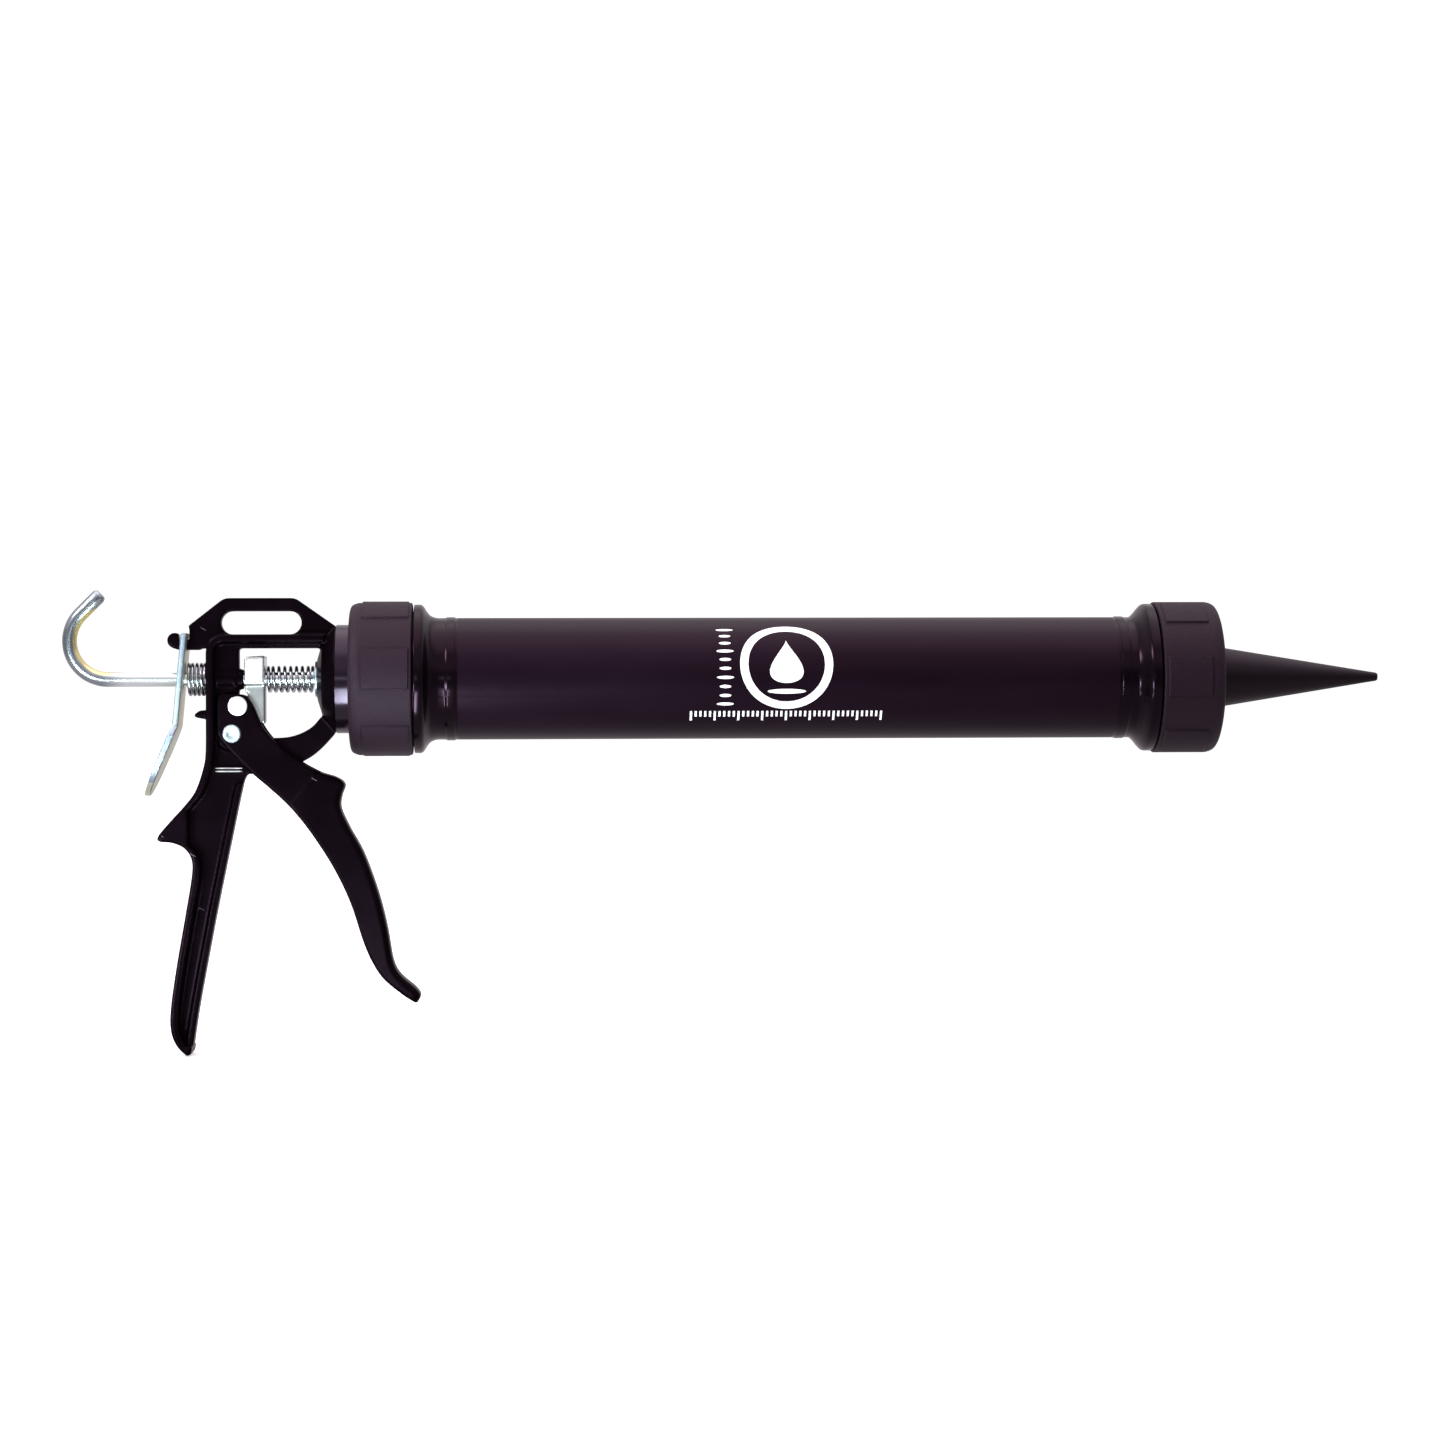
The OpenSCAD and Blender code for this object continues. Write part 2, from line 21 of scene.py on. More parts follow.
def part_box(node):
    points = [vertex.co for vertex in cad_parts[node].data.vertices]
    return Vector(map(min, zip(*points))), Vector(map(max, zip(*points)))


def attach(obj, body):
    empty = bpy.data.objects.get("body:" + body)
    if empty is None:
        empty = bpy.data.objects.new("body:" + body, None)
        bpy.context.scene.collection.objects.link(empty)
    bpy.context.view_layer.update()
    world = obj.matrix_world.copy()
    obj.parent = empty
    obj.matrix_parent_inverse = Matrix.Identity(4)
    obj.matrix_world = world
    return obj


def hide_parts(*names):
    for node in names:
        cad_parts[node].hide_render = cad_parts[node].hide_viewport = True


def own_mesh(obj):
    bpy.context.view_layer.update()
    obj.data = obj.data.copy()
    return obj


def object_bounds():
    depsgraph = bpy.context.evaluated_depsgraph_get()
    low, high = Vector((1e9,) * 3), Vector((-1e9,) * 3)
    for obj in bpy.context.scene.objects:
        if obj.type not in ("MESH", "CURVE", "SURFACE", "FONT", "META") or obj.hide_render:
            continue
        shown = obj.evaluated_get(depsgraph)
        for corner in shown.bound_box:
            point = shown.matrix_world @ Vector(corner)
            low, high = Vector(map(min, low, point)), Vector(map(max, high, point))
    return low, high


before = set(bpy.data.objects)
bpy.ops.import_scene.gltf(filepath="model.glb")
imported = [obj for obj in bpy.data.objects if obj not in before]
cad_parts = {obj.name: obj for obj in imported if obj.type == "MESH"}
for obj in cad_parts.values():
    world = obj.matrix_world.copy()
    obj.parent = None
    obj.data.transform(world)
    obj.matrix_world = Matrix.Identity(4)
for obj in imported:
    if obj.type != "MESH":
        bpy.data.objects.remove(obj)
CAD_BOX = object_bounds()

LOG = logging.getLogger("caulking_gun")
MM = 0.001
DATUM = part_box("end_plate")[0].x
Colour = tuple[float, float, float]
Outline = list[tuple[float, float]]
Steps = tuple[tuple[float, float, float], ...]
WHITE: Colour = (1.0, 1.0, 1.0)


# ---------------------------------------------------------------- nodes


class Board:
    """A node tree, with one way of adding a node to it."""

    def __init__(self, tree: bpy.types.NodeTree) -> None:
        """Keeps the tree that nodes are added to.

        Args:
            tree: A material's, world's or modifier's node tree.
        """
        self.tree = tree

    def node(self, kind: str, inputs: dict | None = None, **settings: object) -> bpy.types.Node:
        """Adds a node.

        Args:
            kind: The node's type.
            inputs: Values or links for its sockets, by name or number.
            settings: Its own properties.

        Returns:
            The new node.
        """
        made = self.tree.nodes.new(kind)
        for key, value in settings.items():
            setattr(made, key, value)
        for key, value in (inputs or {}).items():
            self.feed(made.inputs[key], value)
        return made

    def feed(self, socket: bpy.types.NodeSocket, value: object) -> None:
        """Sets a socket to a value, or links another socket to it.

        Args:
            socket: The input.
            value: A number, colour, vector, Shade or output socket.
        """
        if isinstance(value, Shade):
            value = value.socket
        if isinstance(value, bpy.types.NodeSocket):
            self.tree.links.new(value, socket)
        elif socket.type == "RGBA" and len(value) == 3:
            socket.default_value = (*value, 1.0)
        else:
            socket.default_value = value

    def split(self, vector: bpy.types.NodeSocket) -> "tuple[Shade, Shade, Shade]":
        """The three parts of a vector."""
        made = self.node("ShaderNodeSeparateXYZ", {0: vector})
        return tuple(Shade(self, part) for part in made.outputs)

    def mix(self, share: "Shade", first: object, second: object) -> bpy.types.NodeSocket:
        """A blend of two colours.

        Args:
            share: 0 for the first, 1 for the second.
            first: A colour or link.
            second: A colour or link.

        Returns:
            The blended colour.
        """
        made = self.node("ShaderNodeMix", {0: share, 6: first, 7: second}, data_type="RGBA")
        return made.outputs[2]


class Shade:
    """A number that varies over a surface, which Python's operators work on."""

    def __init__(self, board: Board, socket: bpy.types.NodeSocket) -> None:
        """Wraps an output socket.

        Args:
            board: The tree that it belongs to.
            socket: The output that gives the number.
        """
        self.board = board
        self.socket = socket

    def _math(self, operation: str, *values: object) -> "Shade":
        """Adds a Math node.

        Args:
            operation: The node's operation.
            values: Its inputs in order.

        Returns:
            The result.
        """
        made = self.board.node("ShaderNodeMath", dict(enumerate(values)), operation=operation)
        return Shade(self.board, made.outputs[0])

    def of(self, operation: str) -> "Shade":
        """A function of this number alone, such as SINE."""
        return self._math(operation, self)

    def __add__(self, other: object) -> "Shade":
        """The sum."""
        return self._math("ADD", self, other)

    __radd__ = __add__

    def __sub__(self, other: object) -> "Shade":
        """The difference."""
        return self._math("SUBTRACT", self, other)

    def __rsub__(self, other: object) -> "Shade":
        """The difference, reflected."""
        return self._math("SUBTRACT", other, self)

    def __mul__(self, other: object) -> "Shade":
        """The product."""
        return self._math("MULTIPLY", self, other)

    __rmul__ = __mul__

    def __truediv__(self, other: object) -> "Shade":
        """The quotient."""
        return self._math("DIVIDE", self, other)

    def __abs__(self) -> "Shade":
        """The size without its sign."""
        return self.of("ABSOLUTE")

    def most(self, other: object) -> "Shade":
        """The larger of the two."""
        return self._math("MAXIMUM", self, other)

    def band(self, low: float, high: float) -> "Shade":
        """A smooth step.

        Args:
            low: Where it is 0.
            high: Where it is 1, which may be below low.

        Returns:
            The step, from 0 to 1.
        """
        flipped = low > high
        made = self.board.node(
            "ShaderNodeMapRange",
            {"Value": self, "From Min": min(low, high), "From Max": max(low, high)},
            interpolation_type="SMOOTHSTEP",
        )
        step = Shade(self.board, made.outputs["Result"])
        return 1 - step if flipped else step


class Paint(Board):
    """A material's tree, with the few patterns that the finishes share."""

    def __init__(self, material: bpy.types.Material) -> None:
        """Clears the tree and adds its shader and output.

        Args:
            material: The material to paint.
        """
        material.use_nodes = True
        super().__init__(material.node_tree)
        self.tree.nodes.clear()
        self.shader = self.node("ShaderNodeBsdfPrincipled")
        self.node("ShaderNodeOutputMaterial", {"Surface": self.shader.outputs[0]})
        self.place = self.node("ShaderNodeTexCoord").outputs["Object"]

    def set(self, **values: object) -> None:
        """Sets the shader's sockets, whose names have _ for a space."""
        for name, value in values.items():
            self.feed(self.shader.inputs[name.replace("_", " ")], value)

    def stretched(
        self, scale: tuple[float, float, float], turn: float = 0.0
    ) -> bpy.types.NodeSocket:
        """Object coordinates turned about Y, then scaled.

        Args:
            scale: Factors along the turned axes.
            turn: Angle in degrees.

        Returns:
            The coordinates.
        """
        turned = self.node(
            "ShaderNodeVectorRotate",
            {"Vector": self.place, "Angle": math.radians(turn)},
            rotation_type="Y_AXIS",
        )
        made = self.node(
            "ShaderNodeVectorMath", {0: turned.outputs[0], 1: scale}, operation="MULTIPLY"
        )
        return made.outputs[0]

    def noise(
        self, scale: float, detail: float = 2.0, place: bpy.types.NodeSocket | None = None
    ) -> Shade:
        """Cloudy noise.

        Args:
            scale: Clouds per metre.
            detail: Octaves.
            place: Coordinates other than the object's own.

        Returns:
            Values about 0.5.
        """
        made = self.node(
            "ShaderNodeTexNoise", {"Vector": place or self.place, "Scale": scale, "Detail": detail}
        )
        return Shade(self, made.outputs[0])

    def axes(self) -> tuple[Shade, Shade, Shade]:
        """The object coordinates one by one."""
        return self.split(self.place)

    def relief(self, height: Shade, distance: float, strength: float = 1.0) -> None:
        """Raises the surface by a bump.

        Args:
            height: The pattern.
            distance: How far 1 stands out, in mm.
            strength: How much of it is used.
        """
        made = self.node(
            "ShaderNodeBump", {"Strength": strength, "Distance": distance * MM, "Height": height}
        )
        self.set(Normal=made.outputs[0])

    def marks(
        self, spacing: float, length: float, width: float, turn: float, share: float
    ) -> Shade:
        """Short straight scuffs scattered over the side of a piece, all at one slant.

        Args:
            spacing: Mean distance between them in mm.
            length: Length of each in mm.
            width: Width of each in mm.
            turn: Their slant in degrees.
            share: How many of the places hold one, from 0 to 1.

        Returns:
            1 on a scuff, 0 elsewhere.
        """
        scale = 1 / (spacing * MM)
        place = self.stretched((scale, 0.0, scale), turn)
        cell = self.node("ShaderNodeTexVoronoi", {"Vector": place, "Scale": 1.0})
        offset = self.node(
            "ShaderNodeVectorMath", {0: place, 1: cell.outputs["Position"]}, operation="SUBTRACT"
        )
        along, _, across = (abs(part) * spacing for part in self.split(offset.outputs[0]))
        chance = self.node("ShaderNodeSeparateColor", {0: cell.outputs["Color"]})
        chosen = Shade(self, chance.outputs[0]).band(1 - share, 1 - share + 0.02)
        shape = along.band(length / 2, length / 2 - 0.6) * across.band(width / 2, width / 6)
        return shape * chosen


# ---------------------------------------------------------------- finishes


@dataclass(frozen=True)
class Finish:
    """A surface finish; each kind paints itself on a new material once."""

    name: str

    def material(self) -> bpy.types.Material:
        """The material of this finish, made when it is first asked for.

        Returns:
            The material, which all pieces in this finish share.
        """
        found = bpy.data.materials.get(self.name)
        if found is None:
            found = bpy.data.materials.new(self.name)
            self.paint(Paint(found))
        return found

    def paint(self, board: Paint) -> None:
        """Builds the shader; each kind of finish has its own.

        Args:
            board: The new material's tree.
        """
        raise NotImplementedError


@dataclass(frozen=True)
class Enamel(Finish):
    """Black stoved enamel on a casting, with orange peel and a few pale scuffs."""

    dark: Colour = (0.0013, 0.0005, 0.0011)
    light: Colour = (0.0024, 0.0010, 0.0021)
    scuff: Colour = (0.20, 0.16, 0.19)
    tint: Colour = (0.96, 0.55, 0.85)
    roughness: float = 0.24
    scuff_share: float = 0.16

    def paint(self, board: Paint) -> None:
        """Builds the enamel's shader.

        Args:
            board: The new material's tree.
        """
        cloud = board.noise(70, 3)
        film = board.noise(420, 2)
        grain = board.noise(2600, 2)
        scuffs = board.marks(15, 3.2, 0.36, -30, self.scuff_share)
        scuffs = scuffs * board.noise(900, 2).band(0.3, 0.5)
        base = board.mix(cloud.band(0.35, 0.7), self.dark, self.light)
        board.set(
            Base_Color=board.mix(scuffs * 0.8, base, self.scuff),
            Roughness=self.roughness + cloud * 0.10 + scuffs * 0.25,
            Specular_IOR_Level=0.042,
            Specular_Tint=self.tint,
        )
        board.relief(film * 0.8 + grain * 0.2 - scuffs * 0.4, 0.035, 0.5)


@dataclass(frozen=True)
class DrawnTube(Finish):
    """Satin black plastic tube with fine lengthwise draw lines and glossy moulded ends."""

    deep: Colour = (0.0016, 0.0008, 0.0016)
    dark: Colour = (0.0044, 0.0018, 0.0044)
    light: Colour = (0.0068, 0.0030, 0.0072)
    tint: Colour = (0.96, 0.55, 0.85)
    satin: float = 0.36
    gloss: float = 0.13
    rear: float = 0.0
    front: float = 0.0

    def paint(self, board: Paint) -> None:
        """Builds the tube's shader.

        Args:
            board: The new material's tree.
        """
        along = board.axes()[0]
        rear = along.band(self.rear + 1 * MM, self.rear)
        ends = rear.most(along.band(self.front - 1 * MM, self.front))
        lines = board.noise(1.0, 3, board.stretched((9.0, 900.0, 900.0)))
        smears = board.noise(1.0, 2, board.stretched((14.0, 60.0, 60.0)))
        satin = board.mix(smears.band(0.3, 0.75), self.dark, self.light)
        board.set(
            Base_Color=board.mix(ends, satin, self.deep),
            Roughness=(self.satin + lines * 0.06 + smears * 0.06 - 0.06) * (1 - ends)
            + (self.gloss + smears * 0.05) * ends,
            Specular_IOR_Level=0.16,
            Specular_Tint=self.tint,
        )
        board.relief(lines * (1 - ends * 0.8), 0.012, 0.5)


@dataclass(frozen=True)
class SparkMoulding(Finish):
    """Black moulded plastic with the fine grain of a spark-eroded mould."""

    dark: Colour = (0.0090, 0.0040, 0.0078)
    light: Colour = (0.0160, 0.0078, 0.0142)
    tint: Colour = (0.95, 0.72, 0.92)
    roughness: float = 0.46
    grain: float = 0.09

    def paint(self, board: Paint) -> None:
        """Builds the moulding's shader.

        Args:
            board: The new material's tree.
        """
        grain = board.noise(1900, 3)
        cloud = board.noise(55, 3)
        board.set(
            Base_Color=board.mix(cloud * 0.6 + grain * 0.4, self.dark, self.light),
            Roughness=self.roughness + grain.band(0.35, 0.65) * 0.10 + cloud * 0.08,
            Specular_IOR_Level=0.24,
            Specular_Tint=self.tint,
        )
        board.relief(grain.band(0.35, 0.7), self.grain, 0.8)


@dataclass(frozen=True)
class GlossMoulding(Finish):
    """Shiny black moulded plastic."""

    shade: Colour = (0.003, 0.0015, 0.003)
    tint: Colour = (0.92, 0.72, 1.0)
    roughness: float = 0.12

    def paint(self, board: Paint) -> None:
        """Builds the moulding's shader.

        Args:
            board: The new material's tree.
        """
        cloud = board.noise(120, 3)
        pale = tuple(c * 1.7 for c in self.shade)
        board.set(
            Base_Color=board.mix(cloud, self.shade, pale),
            Roughness=self.roughness + cloud * 0.10,
            Specular_IOR_Level=0.40,
            Specular_Tint=self.tint,
        )
        board.relief(board.noise(300, 2), 0.02, 0.4)


@dataclass(frozen=True)
class ZincPlate(Finish):
    """Zinc plate, blue where the film is thin and straw-yellow where it is thick."""

    blue: Colour = (0.46, 0.59, 0.70)
    straw: Colour = (0.80, 0.84, 0.62)
    straw_share: float = 0.35
    edge: float = 0.0
    roughness: float = 0.30
    bend: tuple[float, float, float] | None = None
    worn: Colour = (0.18, 0.22, 0.26)
    brassy: Colour = (0.80, 0.70, 0.30)

    def paint(self, board: Paint) -> None:
        """Builds the plate's shader.

        Args:
            board: The new material's tree.
        """
        cloud = board.noise(130, 4)
        lines = board.noise(1.0, 3, board.stretched((1500.0, 1500.0, 60.0), 10))
        share = cloud.band(0.75 - self.straw_share, 1.15 - self.straw_share)
        if self.edge:
            flat = abs(board.axes()[1]).band(self.edge * MM, (self.edge - 0.5) * MM)
            share = share * 0.25 + flat * 0.75
        film = board.mix(share, self.blue, self.straw)
        if self.bend:
            film = self._bent(board, film, cloud)
        board.set(
            Base_Color=film,
            Roughness=self.roughness + cloud * 0.14 + lines * 0.05,
            Metallic=1.0,
        )
        board.relief(lines * 0.5 + board.noise(700, 3) * 0.5, 0.02, 0.35)

    def _bent(self, board: Paint, film: bpy.types.NodeSocket, cloud: Shade) -> bpy.types.NodeSocket:
        """Darkens the film on the outside of a bend and yellows it on the inside.

        Args:
            board: The material's tree.
            film: The colour elsewhere.
            cloud: Noise that breaks up the edges.

        Returns:
            The colour.
        """
        x, _, z = board.axes()
        centre_x, centre_z, radius = self.bend
        du, dv = x - centre_x, z - centre_z
        away = (du * du + dv * dv).of("SQRT") + (cloud - 0.5) * 0.8 * MM
        bent = x.band(centre_x + 9 * MM, centre_x - 4 * MM)
        outside = board.mix(bent * (0.55 + cloud * 0.5), film, self.worn)
        inside = bent * away.band(radius - 1.2 * MM, radius - 2.4 * MM)
        return board.mix(inside, outside, self.brassy)


@dataclass(frozen=True)
class BrightSteel(Finish):
    """Bright plated or drawn steel."""

    shade: Colour = (0.90, 0.91, 0.92)
    shadow: Colour = (0.70, 0.71, 0.73)
    roughness: float = 0.22
    grain: float = 0.015

    def paint(self, board: Paint) -> None:
        """Builds the steel's shader.

        Args:
            board: The new material's tree.
        """
        cloud = board.noise(260, 4)
        board.set(
            Base_Color=board.mix(cloud.band(0.62, 0.36), self.shade, self.shadow),
            Roughness=self.roughness + cloud * 0.12,
            Metallic=1.0,
        )
        board.relief(board.noise(1100, 3), self.grain, 0.4)


@dataclass(frozen=True)
class GroundDog(Finish):
    """Hardened drive dog: a polished block above a tongue greyed by painted shade, with a painted
    shadow line along its top edge.
    """

    polished: Colour = (0.95, 0.99, 0.99)
    # Colour of the painted shade on the tongue, which lies in the block's shadow.
    tongue_shade: Colour = (0.30, 0.31, 0.31)
    # Colour of the painted shadow line along the block's top edge.
    scale: Colour = (0.06, 0.055, 0.06)
    top: float = 9.2
    foot: float = -2.2

    def paint(self, board: Paint) -> None:
        """Builds the dog's shader.

        Args:
            board: The new material's tree.
        """
        cloud = board.noise(300, 4)
        height = board.axes()[2] + (cloud - 0.5) * 0.8 * MM
        # Painted shade: the tongue is greyed and a dark line runs along the block's top edge.
        tongue = height.band((self.foot + 0.5) * MM, (self.foot - 0.6) * MM)
        top_edge_shade = height.band(self.top * MM, (self.top + 0.5) * MM)
        base = board.mix(tongue * (0.75 + cloud * 0.3), self.polished, self.tongue_shade)
        board.set(
            Base_Color=board.mix(top_edge_shade * 0.85, base, self.scale),
            Roughness=0.20 + cloud * 0.12 + tongue * 0.08,
            Metallic=1.0,
        )
        board.relief(board.noise(900, 3), 0.006, 0.4)


@dataclass(frozen=True)
class SoftMoulding(Finish):
    """Rubber or unfilled plastic: a matt moulding in one tone with a faint bloom."""

    shade: Colour = (0.05, 0.05, 0.055)
    bloom: Colour = (0.09, 0.09, 0.095)
    roughness: float = 0.6

    def paint(self, board: Paint) -> None:
        """Builds the moulding's shader.

        Args:
            board: The new material's tree.
        """
        cloud = board.noise(160, 4)
        board.set(
            Base_Color=board.mix(cloud.band(0.3, 0.75), self.shade, self.bloom),
            Roughness=self.roughness + cloud * 0.12,
        )
        board.relief(board.noise(900, 2), 0.02, 0.4)


@dataclass(frozen=True)
class ScreenInk(Finish):
    """White screen-printed ink with a thin, slightly rubbed film, given a faint white glow as
    painted light.
    """

    white: Colour = (0.94, 0.94, 0.95)
    rubbed: Colour = (0.42, 0.40, 0.43)
    roughness: float = 0.5

    def paint(self, board: Paint) -> None:
        """Builds the ink's shader.

        Args:
            board: The new material's tree.
        """
        wear = board.noise(1500, 3).band(0.60, 0.74)
        board.set(
            Base_Color=board.mix(wear * 0.7, self.white, self.rubbed),
            Roughness=self.roughness + wear * 0.15,
            # Painted light: the ink glows white, though it is no lamp, so that it stays white in
            # dim light.
            Emission_Color=WHITE,
            Emission_Strength=0.32,
        )
        board.relief(board.noise(2500, 2), 0.008, 0.5)


@dataclass(frozen=True)
class PaleFloor(Finish):
    """Pale matt studio floor, lit a little from below as a light table is."""

    shade: Colour = (0.90, 0.90, 0.90)
    glow: float = 0.42

    def paint(self, board: Paint) -> None:
        """Builds the floor's shader.

        Args:
            board: The new material's tree.
        """
        cloud = board.noise(3, 2)
        pale = tuple(min(1.0, c * 1.02) for c in self.shade)
        board.set(Base_Color=board.mix(cloud, self.shade, pale), Roughness=0.8 + cloud * 0.05)
        board.set(Emission_Color=WHITE, Emission_Strength=self.glow)


ENAMEL = Enamel("enamel_black")
CHROME = BrightSteel("steel_chromed")
PIN_STEEL = BrightSteel("steel_pin", (0.95, 0.99, 0.99), (0.88, 0.93, 0.94), 0.24)
SPRING_WIRE = BrightSteel("steel_spring_wire", (0.60, 0.63, 0.66), (0.34, 0.36, 0.39), 0.14)
PLATE_ZINC = ZincPlate("zinc_release_plate", (0.34, 0.42, 0.52), edge=12.4)
DOG_STEEL = GroundDog("steel_dog_block")
RIVET_ZINC = ZincPlate("zinc_rivet", (0.50, 0.64, 0.72), (0.66, 0.72, 0.70), 0.25, 0.0, 0.34)
SMALL_ZINC = ZincPlate("zinc_small_parts")
# Bright metal colour for the grip's raised lines: a painted highlight along the black ridges.
GRIP_LINE_HIGHLIGHT = BrightSteel("grip_lines_painted_highlight", (0.85, 0.82, 0.82), (0.60, 0.57, 0.58), 0.30)
NECK_GLOSS = GlossMoulding("plastic_neck")
CAP_PLASTIC = SparkMoulding("plastic_caps")
NOZZLE_PLASTIC = SparkMoulding(
    "plastic_nozzle",
    (0.0016, 0.0007, 0.0013),
    (0.0028, 0.0013, 0.0023),
    roughness=0.34,
    grain=0.012,
)
SEAL_RUBBER = SoftMoulding("rubber_seal")
GUIDE_PLASTIC = SoftMoulding("plastic_guide", (0.12, 0.12, 0.13), (0.18, 0.18, 0.19), 0.45)
PISTON_PLASTIC = SoftMoulding("plastic_piston", (0.74, 0.71, 0.64), (0.82, 0.80, 0.75), 0.42)
INK = ScreenInk("ink_white")


# ---------------------------------------------------------------- making meshes


def local_x(x: float) -> float:
    """A place along the gun in mm from the casting's front face, from metres in the frame."""
    return (x - DATUM) / MM


def at(x: float, y: float, z: float) -> Vector:
    """A point in the frame, from mm counted from the casting's front face."""
    return Vector((DATUM + x * MM, y * MM, z * MM))


def ends_of(node: str) -> tuple[float, float]:
    """Where a CAD node begins and ends along the gun, in mm from the casting's front face."""
    low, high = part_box(node)
    return local_x(low.x), local_x(high.x)


def sides_of(node: str) -> tuple[float, float]:
    """The near and far sides of a CAD node, in mm across the gun."""
    low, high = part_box(node)
    return low.y / MM, high.y / MM


def centre_of(node: str) -> tuple[float, float]:
    """The middle of a cross pin, in mm along the gun and up."""
    low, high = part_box(node)
    return local_x((low.x + high.x) / 2), (low.z + high.z) / 2 / MM


def dress(mesh: bpy.types.Mesh, finish: Finish) -> None:
    """Gives a mesh its one material."""
    mesh.materials.clear()
    mesh.materials.append(finish.material())


def add_piece(mesh: bpy.types.Mesh, name: str) -> bpy.types.Object:
    """Puts a mesh in the scene as a new object at the origin.

    Args:
        mesh: The mesh, with its place in its vertices.
        name: The piece's name.

    Returns:
        The object.
    """
    mesh.name = name
    piece = bpy.data.objects.new(name, mesh)
    bpy.context.scene.collection.objects.link(piece)
    return piece


def hand_over(piece: bpy.types.Object, body: str, slot: str, *nodes: str) -> None:
    """Makes a finished piece ride on its body and stand for its CAD nodes.

    Args:
        piece: The finished object.
        body: The CAD body that it moves with.
        slot: The record's material slot; not used.
        nodes: The CAD nodes that it replaces.
    """
    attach(piece, body)
    if nodes:
        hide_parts(*nodes)
    LOG.info("%s rides on %s with %d faces", piece.name, body, len(piece.data.polygons))


def dress_node(node: str, finish: Finish) -> None:
    """Gives a CAD node that is shown as it is its material.

    Args:
        node: The node's name.
        finish: Its finish.
    """
    dress(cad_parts[node].data, finish)
    LOG.info("%s keeps its CAD shape", node)


def settled(piece: bpy.types.Object) -> bpy.types.Object:
    """Turns a piece's modifiers into plain mesh.

    Args:
        piece: An object whose modifiers are ready.

    Returns:
        The same object, with the evaluated mesh and no modifiers.
    """
    graph = bpy.context.evaluated_depsgraph_get()
    graph.update()
    mesh = bpy.data.meshes.new_from_object(piece.evaluated_get(graph), depsgraph=graph)
    old = piece.data
    piece.modifiers.clear()
    piece.data = mesh
    mesh.name = piece.name
    bpy.data.meshes.remove(old)
    return piece


@dataclass(frozen=True)
class Part:
    """The CAD node that a piece stands for, the body that it rides on, its slot and its finish."""

    node: str
    body: str
    slot: str
    finish: Finish

    def claim(self, piece: bpy.types.Object) -> None:
        """Makes a finished piece stand for this part."""
        hand_over(piece, self.body, self.slot, self.node)


@dataclass(frozen=True)
class Corner:
    """A corner of a turned profile: place along the axis, radius, and the fillet that rounds it."""

    along: float
    radius: float
    fillet: float = 0.25


def rounded(corners: Sequence[Corner], steps: int) -> Outline:
    """A closed profile with each of its corners rounded.

    Args:
        corners: The corners in order round the profile.
        steps: Pieces in each fillet.

    Returns:
        The profile's points, as (along, radius).
    """
    points: Outline = []
    for k, corner in enumerate(corners):
        here = Vector((corner.along, corner.radius))
        sides = []
        for other in (corners[k - 1], corners[(k + 1) % len(corners)]):
            way = Vector((other.along, other.radius)) - here
            sides.append(here + way.normalized() * min(corner.fillet, 0.45 * way.length))
        if corner.fillet <= 0 or corner.radius <= 0:
            points.append((corner.along, corner.radius))
            continue
        for i in range(steps + 1):
            t = i / steps
            p = sides[0] * (1 - t) ** 2 + here * (2 * t * (1 - t)) + sides[1] * t**2
            points.append((p.x, p.y))
    return points


class Axis(Enum):
    """Which way a turned piece's axis runs."""

    ALONG = "along the gun"
    ACROSS = "across the gun"


DETAIL_OFFSETS = (-0.7, -0.35, 0, 0.35, 0.7)
DETAIL_GAP = 0.3


def even_angles(count: int) -> list[float]:
    """Angles in degrees, evenly round a circle."""
    return [360.0 * k / count for k in range(count)]


def angles_with(count: int, *places: float) -> list[float]:
    """Angles round a circle with more of them at certain places.

    Args:
        count: Even steps round the circle.
        places: Angles in degrees that need detail.

    Returns:
        The angles in order, from 0 to 360.
    """
    extra = [(place + off) % 360.0 for place in places for off in DETAIL_OFFSETS]
    even = [
        angle
        for angle in even_angles(count)
        if min(abs((angle - other + 180) % 360 - 180) for other in extra) > DETAIL_GAP
    ]
    return sorted(even + extra)


